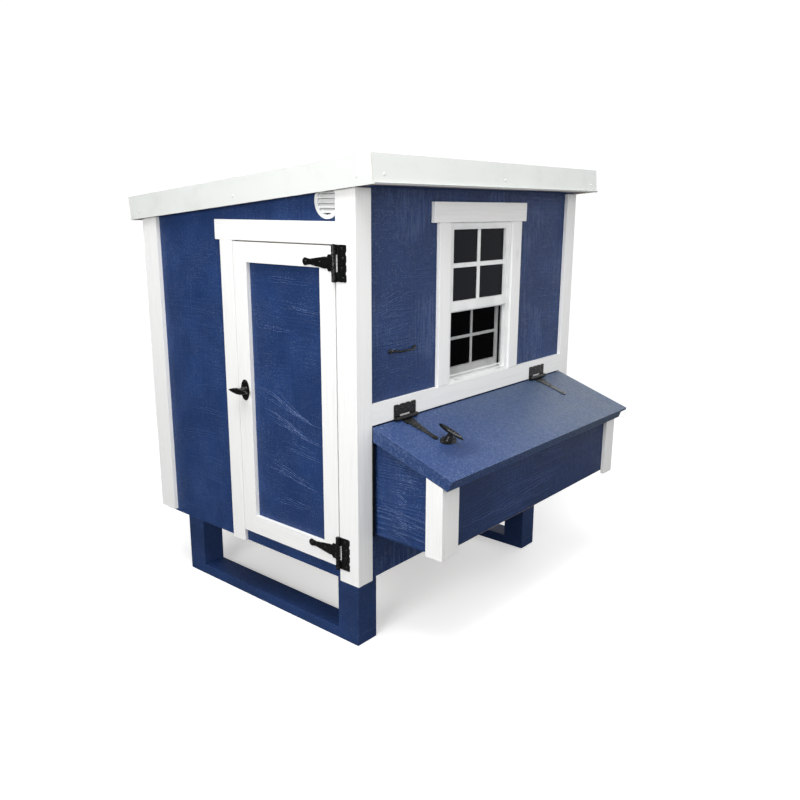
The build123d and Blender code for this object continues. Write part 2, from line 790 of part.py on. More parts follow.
meeting_low, meeting_high = 1063.0, 1069.0
upper_sash, upper_glass = sash(
    upper_back, clearance=0, low=meeting_low, high=light_top,
    stile=12, bottom_rail=32, top_rail=6, muntin_w=15,
)
save(upper_sash, "upper_sash")
save(upper_glass, "upper_glass")
lower_sash, lower_glass = sash(
    lower_back, clearance=1, low=light_bottom + gap / 2, high=meeting_high,
    stile=18, bottom_rail=31, top_rail=6, muntin_w=10,
)
save(lower_sash, "lower_sash")
save(lower_glass, "lower_glass")

# ------------------------------------------------------------------ nest box
lid_rest = Plane(
    origin=(face_x, 0, lid_rest_height(face_x) - gap / 2),
    x_dir=(lid_front, 0, lid_rest_height(face_x + lid_front) - lid_rest_height(face_x)),
    z_dir=(lid_rest_height(face_x) - lid_rest_height(face_x + lid_front), 0, lid_front),
)


def under_lid(low, high):
    """A board from low to high, cut along the slope that the lid rests on."""
    with BuildPart() as board:
        add(box_between(low, (*high, lid_back_height)))
        split(bisect_by=lid_rest, keep=Keep.BOTTOM)
    return board.part


with BuildPart() as nest_ends:
    add(under_lid((wall_x, nest_y0 + board_t, nest_bottom), (nest_wall_x, nest_room_y0)))
    add(under_lid((wall_x, nest_room_y1, nest_bottom), (nest_wall_x, nest_y1 - board_t)))
save(nest_ends.part, "nest_ends")

with BuildPart() as nest_front:
    add(under_lid((nest_room_x, nest_room_y0, nest_front_bottom), (nest_wall_x, nest_room_y1)))
save(nest_front.part, "nest_front")

with BuildPart() as nest_floor:
    add(
        box_between(
            (wall_x, nest_room_y0, nest_bottom), (nest_room_x, nest_room_y1, nest_floor_z)
        )
    )
save(nest_floor.part, "nest_floor")

slot_low, slot_high = 66.0, 53.0           # depths below the lid of the slot for the latch's cam
slot_length, slot_up_slope = 80.0, 26.0
with BuildPart() as nest_dividers:
    for y in divider_ys:
        add(
            under_lid(
                (wall_x, y - divider_t / 2, nest_floor_z), (nest_room_x, y + divider_t / 2)
            )
        )
    with BuildSketch(lid_plane.offset(-slot_low)):
        with Locations((lid_latch_s - slot_up_slope, divider_ys[0])):
            Rectangle(slot_length, divider_t + 2)
    extrude(amount=slot_low - slot_high, mode=Mode.SUBTRACT)
save(nest_dividers.part, "nest_dividers")

near_board_w, near_front_board_w = 60.0, 67.0
with BuildPart() as nest_corner_boards:
    base = nest_board_bottom
    add(under_lid((nest_face_x - near_board_w, nest_y0, base), (nest_face_x, nest_y0 + board_t)))
    add(
        under_lid(
            (nest_wall_x, nest_y0 + board_t + joint, base),
            (nest_face_x, nest_y0 + board_t + near_front_board_w),
        )
    )
    add(under_lid((nest_face_x - board_w, nest_y1 - board_t, base), (nest_wall_x, nest_y1)))
    add(under_lid((nest_wall_x + joint, nest_y1 - board_w, base), (nest_face_x, nest_y1)))
save(nest_corner_boards.part, "nest_corner_boards")

lid_start_x = face_x + 1.5
lid_y0, lid_y1 = nest_y0, -nest_y0
lid_rim_y1 = nest_y1
lid_end_s = (face_x + lid_front - lid_plane.origin.X) / lid_cos
lid_edge = Plane(origin=(lid_start_x, 0, 0), x_dir=(0, 1, 0), z_dir=(1, 0, 0))
lid_skin_under = lid_plane.offset(-lid_skin_t)
lid_overcut = 20.0                         # extra length up the slope, cut off square to the wall
rim_end_s = lid_end_s - 3.0
rim_length = lid_rim_y1 - lid_y0
lid_rim_mid = (lid_y0 + lid_rim_y1) / 2

with BuildPart() as lid_panel:
    with BuildSketch(lid_skin_under):
        with Locations(((lid_end_s - lid_overcut) / 2, (lid_y0 + lid_y1) / 2)):
            Rectangle(lid_end_s + lid_overcut, lid_y1 - lid_y0)
        with Locations((lid_latch_s, lid_latch_y)):
            Circle(shaft_r + running_gap, mode=Mode.SUBTRACT)
    extrude(amount=lid_skin_t)
    split(bisect_by=lid_edge, keep=Keep.TOP)
    for _, face in lid_hinges:
        add(screw_holes(face, strap_screws), mode=Mode.SUBTRACT)
    add(screw_holes(lid_latch_face, latch_screws), mode=Mode.SUBTRACT)
save(lid_panel.part, "lid_panel")

rim_depth = 60.0
lid_under = Plane(
    origin=(face_x, 0, lid_rest_height(face_x)), x_dir=lid_rest.x_dir, z_dir=lid_rest.z_dir
)
with BuildPart() as lid_frame:
    with BuildSketch(lid_skin_under):
        with Locations(((rim_end_s - lid_overcut) / 2, lid_rim_mid)):
            Rectangle(rim_end_s + lid_overcut, rim_length)
        with Locations((rim_end_s / 2, lid_rim_mid)):
            Rectangle(rim_end_s - 2 * batten, rim_length - 2 * batten, mode=Mode.SUBTRACT)
    extrude(amount=-rim_depth)
    split(bisect_by=lid_edge, keep=Keep.TOP)
    split(bisect_by=lid_under, keep=Keep.TOP)
save(lid_frame.part, "lid_frame")

# ------------------------------------------------------------------ vent, pull handle and roosts
vent_plane = Plane(origin=(vent_x, -wall_y, vent_z), x_dir=(1, 0, 0), z_dir=(0, -1, 0))
vent_flange_t, vent_bore = 5.0, 38.0
slat_pitch, slat_count = 13.5, 5
slat_back, slat_front = -wall_y + 6, -wall_y - 4
slat_fall, slat_t = 10.0, 2.5

with BuildPart() as slats:
    for i in range(slat_count):
        height = vent_z - slat_t / 2 + (i - (slat_count - 1) / 2) * slat_pitch
        with BuildSketch(Plane.YZ.offset(vent_x - vent_bore - 1)):
            with BuildLine():
                Polyline(
                    (slat_front, height - slat_fall / 2), (slat_back, height + slat_fall / 2),
                    (slat_back, height + slat_fall / 2 + slat_t),
                    (slat_front, height - slat_fall / 2 + slat_t), close=True,
                )
            make_face()
        extrude(amount=2 * vent_bore + 2)
    inside = rods(vent_plane.offset(-siding_t), [(0, 0)], vent_bore + 1, 2 * siding_t)
    add(inside, mode=Mode.INTERSECT)

with BuildPart() as louvre_vent:
    with BuildSketch(vent_plane):
        Circle(vent_r)
    extrude(amount=vent_flange_t)
    with BuildSketch(vent_plane.offset(-siding_t + gap)):
        Circle(vent_hole_r - joint)
    extrude(amount=siding_t)
    with BuildSketch(vent_plane.offset(-siding_t)):
        Circle(vent_bore)
    extrude(amount=2 * siding_t, mode=Mode.SUBTRACT)
    add(slats.part)
    add(
        box_between(
            (face_x - corner_w_high - gap / 2, -face_y, vent_z - vent_r),
            (face_x, -wall_y, vent_z + vent_r),
        ),
        mode=Mode.SUBTRACT,
    )
save(louvre_vent.part, "louvre_vent")

pull_y0, pull_y1, pull_z = -455.0, -355.0, 972.0
pull_mid = (pull_y0 + pull_y1) / 2
pull_out, pull_in, pull_grip_h, pull_root = 27.0, 20.0, 8.0, 8.0
pull_foot_t = 3.0
with BuildPart() as pull_handle:
    root_y0, root_y1 = pull_y0 + pull_root, pull_y1 - pull_root
    with BuildSketch(Plane.XY.offset(pull_z - pull_grip_h / 2)):
        with BuildLine():
            ThreePointArc((wall_x, pull_y0), (wall_x + pull_out, pull_mid), (wall_x, pull_y1))
            Line((wall_x, pull_y1), (wall_x, root_y1))
            ThreePointArc((wall_x, root_y1), (wall_x + pull_in, pull_mid), (wall_x, root_y0))
            Line((wall_x, root_y0), (wall_x, pull_y0))
        make_face()
    extrude(amount=pull_grip_h)
    with BuildSketch(side_face):
        with Locations((pull_y0 - 4, pull_z), (pull_y1 + 4, pull_z)):
            Ellipse(13, 8)
    extrude(amount=pull_foot_t)
    with BuildSketch(side_face.offset(pull_foot_t)):
        with Locations((pull_y0 - 7, pull_z), (pull_y1 + 7, pull_z)):
            Circle(screw_head_r)
    extrude(amount=screw_dome, taper=screw_taper)
save(pull_handle.part, "pull_handle")

roost_spots = ((-180.0, 700.0), (-370.0, 860.0))
roost_edge_r = 8.0
cleat_w, cleat_t = 90.0, 18.0
with BuildPart() as roost_bars:
    with BuildSketch(Plane.XZ.offset(-room_y + gap / 2)):
        with Locations(*roost_spots):
            RectangleRounded(batten, batten, roost_edge_r)
    extrude(amount=2 * room_y - gap)
save(roost_bars.part, "roost_bars")

with BuildPart() as roost_cleats:
    for start in (-room_y + cleat_t, room_y):
        with BuildSketch(Plane.XZ.offset(-start)):
            for x, z in roost_spots:
                with Locations((x, z - batten / 2)):
                    Rectangle(cleat_w, 2 * batten)
                with Locations((x, z + batten / 2)):
                    Rectangle(batten, 2 * batten, mode=Mode.SUBTRACT)
        extrude(amount=cleat_t)
    add(roost_bars.part, mode=Mode.SUBTRACT)
save(roost_cleats.part, "roost_cleats")

# ------------------------------------------------------------------ sliding pop door for the hens
pop_panel_w, pop_panel_h, pop_panel_t = 262.0, 330.0, 10.0
pop_panel_bottom = 306.0
pop_rail_w, pop_rail_t, pop_lip, pop_lip_t = 20.0, 12.0, 10.0, 5.0
pop_rail_bottom, pop_rail_top = 296.0, 962.0
pop_ledge_h = 10.0
rail_mid = (pop_rail_bottom + pop_rail_top) / 2
rail_offset = pop_panel_w / 2 + gap + pop_rail_w / 2

with BuildPart() as pop_door:
    with BuildSketch(back_face.offset(gap)):
        with Locations((-pop_x, pop_panel_bottom + pop_panel_h / 2)):
            Rectangle(pop_panel_w, pop_panel_h)
    extrude(amount=pop_panel_t)
save(pop_door.part, "pop_door")

knob_place = (-pop_x, pop_panel_bottom + 60)
knob_neck_r, knob_neck_h, knob_r, knob_h = 8.0, 10.0, 13.0, 12.0
with BuildPart() as pop_door_knob:
    with BuildSketch(back_face.offset(gap + pop_panel_t)):
        with Locations(knob_place):
            Circle(knob_neck_r)
    extrude(amount=knob_neck_h)
    with BuildSketch(back_face.offset(gap + pop_panel_t + knob_neck_h)):
        with Locations(knob_place):
            Circle(knob_r)
    extrude(amount=knob_h, taper=20)
save(pop_door_knob.part, "pop_door_knob")

with BuildPart() as pop_door_rails:
    with BuildSketch(back_face):
        with Locations((-pop_x - rail_offset, rail_mid), (-pop_x + rail_offset, rail_mid)):
            Rectangle(pop_rail_w, pop_rail_top - pop_rail_bottom)
    extrude(amount=pop_rail_t)
    with BuildSketch(back_face):
        with Locations((-pop_x, pop_panel_bottom - pop_ledge_h / 2 - gap)):
            Rectangle(pop_panel_w, pop_ledge_h)
    extrude(amount=pop_rail_t - joint)
    with BuildSketch(back_face.offset(pop_rail_t)):
        for side in (-1, 1):
            with Locations((-pop_x + side * (rail_offset - pop_lip / 2), rail_mid)):
                Rectangle(pop_rail_w + pop_lip, pop_rail_top - pop_rail_bottom)
    extrude(amount=pop_lip_t)
save(pop_door_rails.part, "pop_door_rails")

# ------------------------------------------------------------------ roof
roof_mid_s = (roof_high + roof_low) / 2
roof_len = roof_high - roof_low
hem_out, hem_drop, hem_t = 5.0, 4.0, 1.2
seam = 1.6
screw_depth = 54.0
rail_t = roof_y - sheet_t - wall_y


def roof_side(s, y, normal):
    """Plane on the outside of the roof's folded edge; its second axis points up the fold."""
    centre = roof_top.from_local_coords((s, y, -screw_depth))
    return Plane(origin=centre, x_dir=roof_top.z_dir.cross(normal), z_dir=normal)


eave_reach, rake_reach = roof_y - 45, roof_len / 2 - 60  # from the middle of a side to its end screws
roof_sides = [
    (roof_side(roof_high, 0, roof_top.x_dir), eave_reach),
    (roof_side(roof_low, 0, -roof_top.x_dir), eave_reach),
    (roof_side(roof_mid_s, -roof_y, -roof_top.y_dir), rake_reach),
    (roof_side(roof_mid_s, roof_y, roof_top.y_dir), rake_reach),
]
roof_screw_bite = 11.0


def roof_screw_sets():
    """Each folded edge's plane with the places of its screws."""
    return [(face, [(-reach, 0), (0, 0), (reach, 0)]) for face, reach in roof_sides]


with BuildPart() as roof_screw_shanks:
    for face, spots in roof_screw_sets():
        add(rods(face.offset(-roof_screw_bite), spots, screw_r, roof_screw_bite))

with BuildPart() as roof_screws:
    for face, spots in roof_screw_sets():
        add(screw(face, spots, bite=roof_screw_bite, plate=0))
save(roof_screws.part, "roof_screws")

with BuildPart() as roof_sheet:
    with BuildSketch(roof_top.offset(-fascia_depth)):
        with Locations((roof_mid_s, 0)):
            Rectangle(roof_len, 2 * roof_y)
    extrude(amount=fascia_depth)
    for s, side in ((roof_high, 1), (roof_low, -1)):
        edge = Plane(
            origin=roof_top.from_local_coords((s, roof_y, -fascia_depth)),
            x_dir=roof_top.x_dir,
            z_dir=-roof_top.y_dir,
        )
        with BuildSketch(edge):
            with BuildLine():
                Polyline(
                    (-side * sheet_t, 0), (side * hem_out, hem_drop),
                    (side * (hem_out + hem_t / 2), hem_drop - hem_t / 2), (0, -hem_t),
                    (-side * sheet_t, -hem_t), close=True,
                )
            make_face()
        extrude(amount=2 * roof_y)
    with BuildSketch(roof_top.offset(-fascia_depth - hem_drop)):
        with Locations((roof_mid_s, 0)):
            Rectangle(roof_len - 2 * sheet_t, 2 * roof_y - 2 * sheet_t)
    extrude(amount=fascia_depth + hem_drop - sheet_t, mode=Mode.SUBTRACT)
    seam_ends = (roof_high - sheet_t - seam / 2, roof_low + sheet_t + seam / 2)
    seam_spots = [(s, side * (roof_y - sheet_t / 2)) for s in seam_ends for side in (-1, 1)]
    with BuildSketch(roof_top.offset(-fascia_depth - hem_drop)):
        with Locations(*seam_spots):
            Rectangle(seam, 3 * sheet_t)
    extrude(amount=fascia_depth + hem_drop - 3 * sheet_t, mode=Mode.SUBTRACT)
    add(roof_screw_shanks.part, mode=Mode.SUBTRACT)
save(roof_sheet.part, "roof_sheet")

with BuildPart() as roof_deck:
    with BuildSketch(roof_top.offset(-deck_depth)):
        with Locations((roof_mid_s, 0)):
            Rectangle(roof_len - 2 * sheet_t, 2 * roof_y - 2 * sheet_t)
    extrude(amount=deck_t)
save(roof_deck.part, "roof_deck")

eave_mid_high = roof_high - sheet_t - batten / 2
eave_mid_low = roof_low + sheet_t + batten / 2
rake_mid = roof_y - sheet_t - rail_t / 2
with BuildPart() as roof_rails:
    with BuildSketch(roof_top.offset(-rail_depth)):
        with Locations((eave_mid_high, 0), (eave_mid_low, 0)):
            Rectangle(batten, 2 * (roof_y - sheet_t))
        with Locations((roof_mid_s, -rake_mid), (roof_mid_s, rake_mid)):
            Rectangle(roof_len - 2 * sheet_t - 2 * batten - gap, rail_t)
    extrude(amount=rail_depth - deck_depth)
    add(rods(vent_plane.offset(-gap), [(0, 0)], vent_r + 3, 2 * rail_t), mode=Mode.SUBTRACT)
    add(roof_screw_shanks.part, mode=Mode.SUBTRACT)
save(roof_rails.part, "roof_rails")

soffit_t = 9.0
soffit_top = rail_depth - soffit_t
soffit_spans = [
    ((wall_x + gap - soffit_top * roof_sin) / roof_cos, roof_high - sheet_t - batten - gap / 2),
    (roof_low + sheet_t + batten + gap / 2, (-wall_x - gap - rail_depth * roof_sin) / roof_cos),
]
with BuildPart() as soffit_boards:
    with BuildSketch(roof_top.offset(-rail_depth)):
        for start, finish in soffit_spans:
            with Locations(((start + finish) / 2, 0)):
                Rectangle(finish - start, 2 * wall_y - gap)
    extrude(amount=soffit_t)
save(soffit_boards.part, "soffit_boards")

print(len(written), "nodes written")
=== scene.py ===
"""The looks of a raised timber chicken coop, built round its CAD frame.

Lengths are metres in the frame's own axes: the door wall faces -Y and the window wall +X.
"""

import bpy
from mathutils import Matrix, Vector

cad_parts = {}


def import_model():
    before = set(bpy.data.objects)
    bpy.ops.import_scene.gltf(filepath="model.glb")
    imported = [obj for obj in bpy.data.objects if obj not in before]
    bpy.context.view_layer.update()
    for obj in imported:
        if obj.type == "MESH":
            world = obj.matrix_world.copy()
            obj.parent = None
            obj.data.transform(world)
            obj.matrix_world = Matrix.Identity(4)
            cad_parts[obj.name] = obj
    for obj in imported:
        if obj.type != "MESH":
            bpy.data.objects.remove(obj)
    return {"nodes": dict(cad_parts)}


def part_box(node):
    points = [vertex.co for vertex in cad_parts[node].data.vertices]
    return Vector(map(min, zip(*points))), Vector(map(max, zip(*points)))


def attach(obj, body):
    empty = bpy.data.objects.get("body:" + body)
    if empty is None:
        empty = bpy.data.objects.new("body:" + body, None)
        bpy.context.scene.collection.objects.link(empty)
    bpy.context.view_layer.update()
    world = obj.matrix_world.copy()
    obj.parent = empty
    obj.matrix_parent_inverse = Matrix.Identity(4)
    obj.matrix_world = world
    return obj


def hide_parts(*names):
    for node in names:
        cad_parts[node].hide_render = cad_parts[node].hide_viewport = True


bpy.context.view_layer.update()
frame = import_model()
bpy.context.view_layer.update()

import random
from math import cos, pi, radians, sin

import bmesh
from mathutils import Matrix, Vector, noise

MM = 0.001
nodes = frame["nodes"]
X, Y, Z = Vector((1, 0, 0)), Vector((0, 1, 0)), Vector((0, 0, 1))
cabin_low, cabin_high = (Vector(corner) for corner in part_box("end_corner_boards"))
CENTRE = Vector(((cabin_low.x + cabin_high.x) / 2, (cabin_low.y + cabin_high.y) / 2, 0))

# ------------------------------------------------------------------ colours (linear)
NAVY = (0.0115, 0.0385, 0.138)
NAVY_DEEP = (0.0075, 0.0275, 0.102)
NAVY_WORN = (0.135, 0.190, 0.340)
LID_BLUE = (0.0150, 0.0420, 0.140)
LID_WORN = (0.150, 0.205, 0.330)
# grey-blue painted sheen, laid over the lid's far end for the sky's reflection
SHEEN_GREY = (0.048, 0.076, 0.098)
WHITE = (0.80, 0.80, 0.79)
WHITE_SHADE = (0.70, 0.71, 0.70)
KNOT = (0.42, 0.42, 0.40)
VINYL = (0.79, 0.80, 0.79)
VINYL_SHADE = (0.68, 0.70, 0.69)
IRON = (0.0032, 0.0036, 0.0036)
IRON_RUBBED = (0.075, 0.082, 0.080)
ROOF_WHITE = (0.66, 0.68, 0.66)
ROOF_SOILED = (0.57, 0.59, 0.56)
ZINC = (0.55, 0.56, 0.57)
ZINC_DULL = (0.33, 0.34, 0.35)
PINE = (0.50, 0.39, 0.26)
PINE_DARK = (0.30, 0.20, 0.11)
PLY = (0.60, 0.43, 0.25)
PLY_DARK = (0.40, 0.25, 0.12)
GLASS = (0.0060, 0.0070, 0.0100)
GLASS_DUST = (0.018, 0.020, 0.024)
SCREEN_BLACK = (0.0015, 0.0016, 0.0018)


def rgba(colour):
    return (*colour, 1.0)


class Graph:
    """One material's node tree, with a short call for each kind of node used here."""

    def __init__(self, name, roughness=0.5, metallic=0.0):
        self.material = bpy.data.materials.new(name)
        self.material.use_nodes = True
        self.tree = self.material.node_tree
        self.shader = self.tree.nodes["Principled BSDF"]
        self.place = self.tree.nodes.new("ShaderNodeTexCoord").outputs["Object"]
        self.shader.inputs["Roughness"].default_value = roughness
        self.shader.inputs["Metallic"].default_value = metallic

    def feed(self, socket, value):
        if isinstance(value, bpy.types.NodeSocket):
            self.tree.links.new(value, socket)
        else:
            socket.default_value = value

    def make(self, kind, inputs, **settings):
        node = self.tree.nodes.new("ShaderNode" + kind)
        for key, value in settings.items():
            setattr(node, key, value)
        for key, value in inputs.items():
            self.feed(node.inputs[key], value)
        return node

    def scaled(self, scale):
        return self.make("Mapping", {"Vector": self.place, "Scale": scale}).outputs["Vector"]

    def noise(self, vector, scale, detail=2.0, rough=0.5, distortion=0.0):
        inputs = {"Vector": vector, "Scale": scale, "Detail": detail, "Roughness": rough}
        inputs["Distortion"] = distortion
        return self.make("TexNoise", inputs).outputs["Fac"]

    def bands(self, vector, scale, distortion, detail_scale, direction="Z"):
        inputs = {"Vector": vector, "Scale": scale, "Distortion": distortion}
        inputs["Detail"] = 2.0
        inputs["Detail Scale"] = detail_scale
        node = self.make("TexWave", inputs, wave_type="BANDS", bands_direction=direction)
        return node.outputs["Fac"]

    def cells(self, vector, scale, feature="SMOOTH_F1"):
        node = self.make("TexVoronoi", {"Vector": vector, "Scale": scale}, feature=feature)
        return node.outputs["Distance"]

    def span(self, value, start, finish, low=0.0, high=1.0):
        inputs = {"Value": value, "From Min": start, "From Max": finish, "To Min": low, "To Max": high}
        return self.make("MapRange", inputs, interpolation_type="SMOOTHSTEP").outputs["Result"]

    def maths(self, operation, first, second=0.0):
        node = self.tree.nodes.new("ShaderNodeMath")
        node.operation = operation
        self.feed(node.inputs[0], first)
        self.feed(node.inputs[1], second)
        return node.outputs["Value"]

    def mix(self, amount, first, second):
        node = self.tree.nodes.new("ShaderNodeMix")
        node.data_type = "RGBA"
        self.feed(node.inputs["Factor"], amount)
        for socket, colour in (("A", first), ("B", second)):
            slot = next(s for s in node.inputs if s.name == socket and s.type == "RGBA")
            self.feed(slot, rgba(colour) if isinstance(colour, tuple) else colour)
        return next(s for s in node.outputs if s.type == "RGBA")

    def near(self, point, squeeze, inner, outer):
        """1 close to a point and 0 beyond the outer distance, squeezed along the axes."""
        node = self.tree.nodes.new("ShaderNodeVectorMath")
        node.operation = "DISTANCE"
        self.feed(node.inputs[0], self.scaled(squeeze))
        node.inputs[1].default_value = [a * b for a, b in zip(point, squeeze)]
        return self.span(node.outputs["Value"], inner, outer, 1.0, 0.0)

    def turned(self, height, below, above):
        """One mapping below a height and another above it."""
        z = self.make("SeparateXYZ", {"Vector": self.place}).outputs["Z"]
        node = self.tree.nodes.new("ShaderNodeMix")
        node.data_type = "VECTOR"
        self.feed(node.inputs["Factor"], self.maths("GREATER_THAN", z, height))
        for socket, vector in (("A", below), ("B", above)):
            self.feed(next(s for s in node.inputs if s.name == socket and s.type == "VECTOR"), vector)
        return next(s for s in node.outputs if s.type == "VECTOR")

    def edges(self, radius, start=0.02, finish=0.25):
        """1 on the sharp edges of a piece and 0 on its flat faces."""
        bevel = self.make("Bevel", {"Radius": radius}, samples=4).outputs["Normal"]
        true = self.tree.nodes.new("ShaderNodeNewGeometry").outputs["Normal"]
        node = self.tree.nodes.new("ShaderNodeVectorMath")
        node.operation = "DOT_PRODUCT"
        self.feed(node.inputs[0], bevel)
        self.feed(node.inputs[1], true)
        turned = self.maths("SUBTRACT", 1.0, node.outputs["Value"])
        return self.span(turned, start, finish)

    def bump(self, height, distance, below=None):
        inputs = {"Height": height, "Distance": distance}
        if below is not None:
            inputs["Normal"] = below
        return self.make("Bump", inputs).outputs["Normal"]

    def paint(self, colour=None, roughness=None, normal=None):
        if colour is not None:
            self.feed(self.shader.inputs["Base Color"], colour)
        if roughness is not None:
            self.feed(self.shader.inputs["Roughness"], roughness)
        if normal is not None:
            self.feed(self.shader.inputs["Normal"], normal)
        return self.material


def along(axis, squeeze):
    """Mapping scale that draws a pattern out along one axis."""
    return tuple(squeeze if letter == axis else 1.0 for letter in "xyz")


# ------------------------------------------------------------------ materials
def siding(name, axis, strokes_mm, saw_mm, ring_mm, fleck, shade=1.0):
    """Painted cedar-textured panel: wavy growth rings, transverse saw strokes, light scuffs.

    The strokes, saw marks and rings are given as relief heights. The fleck is how far the rubbed specks go
    towards the worn colour, and the shade darkens the paint as painted shade, for a face that lies in
    shadow.
    """
    g = Graph(name)
    drawn = g.scaled(along(axis, 0.16))
    rings = g.maths("POWER", g.bands(drawn, 24.0, 30.0, 0.30), 1.8)
    patches = g.span(g.noise(g.scaled(along(axis, 0.35)), 5.5, 2.0), 0.40, 0.62)
    strong = g.maths("MULTIPLY", rings, patches)
    strokes = g.noise(g.scaled(along(axis, 0.20)), 190.0, 3.0, 0.62, 0.6)
    across = g.span(g.noise(g.scaled(along("z", 0.085)), 105.0, 2.0, 0.55, 0.7), 0.36, 0.60)
    saw_patch = g.span(g.noise(g.place, 3.6, 1.0), 0.34, 0.56)
    saw = g.maths("MULTIPLY", across, saw_patch)
    grit = g.noise(g.scaled(along(axis, 0.7)), 300.0, 3.0, 0.65)
    relief = g.bump(strong, ring_mm * MM)
    relief = g.bump(strokes, strokes_mm * MM, relief)
    relief = g.bump(saw, saw_mm * MM, relief)
    relief = g.bump(grit, 0.55 * MM, relief)
    mottle = g.noise(g.place, 7.0, 4.0, 0.6)
    # painted shade: the shade factor darkens both paint colours for a face in shadow
    deep, plain = (tuple(part * shade for part in colour) for colour in (NAVY_DEEP, NAVY))
    base = g.mix(g.span(mottle, 0.35, 0.7), deep, plain)
    # painted shade: the paint darkens in the hollows of the stroke relief
    hollow_shade = g.span(strokes, 0.34, 0.50, 0.7, 0.0)
    base = g.mix(hollow_shade, base, deep)
    base = g.mix(g.span(saw, 0.45, 0.95, 0.0, saw_mm * 0.10), base, NAVY_WORN)
    speck = g.span(grit, 0.56, 0.68)
    worn = g.span(g.noise(g.place, 11.0, 3.0), 0.38, 0.62, 0.25, 1.0)
    broken = g.span(g.noise(drawn, 120.0, 3.0), 0.45, 0.62)
    crest = g.maths("MULTIPLY", g.span(strong, 0.45, 0.95), broken)
    speck = g.maths("MULTIPLY", g.maths("MULTIPLY", speck, worn), fleck)
    scuffs = g.maths("MAXIMUM", speck, g.maths("MULTIPLY", crest, ring_mm * 0.30))
    colour = g.mix(scuffs, base, NAVY_WORN)
    colour = g.mix(g.maths("MULTIPLY", g.edges(1.5 * MM), 0.25), colour, NAVY_WORN)
    rough = g.span(g.noise(g.place, 60.0, 3.0), 0.3, 0.7, 0.44, 0.58)
    g.feed(g.shader.inputs["Specular IOR Level"], 0.32)
    return g.paint(colour, rough, relief)


def vein_paint(name, light):
    """Paint on the raised grain, rubbed pale in short lengths."""
    g = Graph(name, 0.55)
    rub = g.span(g.noise(g.place, 115.0, 4.0, 0.7), 0.48, 0.58)
    fine = g.span(g.noise(g.place, 420.0, 2.0), 0.35, 0.6)
    amount = g.maths("MULTIPLY", g.maths("MULTIPLY", rub, fine), light)
    colour = g.mix(amount, NAVY, NAVY_WORN)
    return g.paint(colour, None, g.bump(fine, 0.15 * MM))


def blue_paint(name, axis, dark, pale, wear, canvas, smear=None, sheen_span=None):
    """Rolled exterior paint on sawn timber: orange peel, soft mottling and rubbed arrises.

    The canvas is how strongly the roller's weave shows. A smear is the middle of a darker rubbed patch. A
    painted sheen, a grey-blue wash that stands for the sky's reflection, grows along Y from the first of
    the sheen pair to the second.
    """
    g = Graph(name)
    weave = g.noise(g.place, 150.0, 4.0, 0.72)
    grain = g.noise(g.scaled(along(axis, 0.06)), 170.0, 4.0, 0.65)
    rolled = g.noise(g.place, 95.0, 3.0, 0.6)
    relief = g.bump(weave, 1.5 * canvas * MM)
    relief = g.bump(grain, 0.30 * MM, relief)
    relief = g.bump(rolled, 0.25 * MM, relief)
    mottle = g.noise(g.place, 9.0, 5.0, 0.62)
    colour = g.mix(g.span(mottle, 0.32, 0.72), dark, pale)
    colour = g.mix(g.span(weave, 0.34, 0.50, 0.85 * canvas, 0.0), colour, NAVY_DEEP)
    colour = g.mix(g.span(weave, 0.50, 0.64, 0.0, 0.42 * canvas), colour, LID_WORN)
    bloom = g.span(g.noise(g.scaled(along(axis, 0.6)), 240.0, 4.0, 0.7), 0.54, 0.70, 0.0, 0.34 * canvas)
    colour = g.mix(bloom, colour, LID_WORN)
    # painted sheen: the paint pales to grey-blue along Y, standing for the sky's reflection towards the
    # lid's far end
    if sheen_span is not None:
        y = g.make("SeparateXYZ", {"Vector": g.place}).outputs["Y"]
        painted_sheen = g.maths("MULTIPLY", g.span(y, *sheen_span), g.span(mottle, 0.25, 0.60, 0.5, 1.0))
        colour = g.mix(g.maths("MULTIPLY", painted_sheen, 0.62), colour, SHEEN_GREY)
    rub = g.maths("MULTIPLY", g.edges(1.8 * MM), g.span(g.noise(g.place, 80.0, 4.0), 0.34, 0.52, 0.35, 1.0))
    colour = g.mix(g.maths("MULTIPLY", rub, wear), colour, LID_WORN)
    if smear is not None:
        near = g.near(smear, (1.0, 0.50, 1.0), 0.020, 0.060)
        colour = g.mix(g.maths("MULTIPLY", near, g.span(rolled, 0.3, 0.6, 0.55, 1.0)), colour, NAVY_DEEP)
    rough = g.span(rolled, 0.3, 0.7, 0.40, 0.56)
    return g.paint(colour, rough, relief)


def white_board(name, axis, head=None):
    """White-painted pine: grain telegraphing through, a few faint knots, soiled at the edges.

    Above the height head, if there is one, the boards lie along Y instead.
    """
    g = Graph(name)

    def drawn(squeeze):
        upright = g.scaled(along(axis, squeeze))
        return upright if head is None else g.turned(head, upright, g.scaled(along("y", squeeze)))

    grain = g.noise(drawn(0.035), 150.0, 5.0, 0.62)
    fine = g.noise(drawn(0.03), 640.0, 2.0, 0.6)
    knots = g.cells(drawn(0.45), 6.0, "F1")
    knot = g.span(knots, 0.0, 0.085, 1.0, 0.0)
    figure = g.bands(drawn(0.06), 24.0, 14.0, 0.9, "X" if axis != "x" else "Z")
    relief = g.bump(grain, 0.36 * MM)
    relief = g.bump(fine, 0.14 * MM, relief)
    relief = g.bump(figure, 0.12 * MM, relief)
    shade = g.span(grain, 0.42, 0.78, 0.0, 0.55)
    colour = g.mix(shade, WHITE, WHITE_SHADE)
    colour = g.mix(g.maths("MULTIPLY", knot, 0.30), colour, KNOT)
    soil = g.maths("MULTIPLY", g.edges(1.4 * MM), g.span(g.noise(g.place, 48.0, 4.0), 0.5, 0.7, 0.0, 0.5))
    colour = g.mix(soil, colour, KNOT)
    rough = g.span(g.noise(g.place, 75.0, 3.0), 0.3, 0.7, 0.42, 0.56)
    return g.paint(colour, rough, relief)


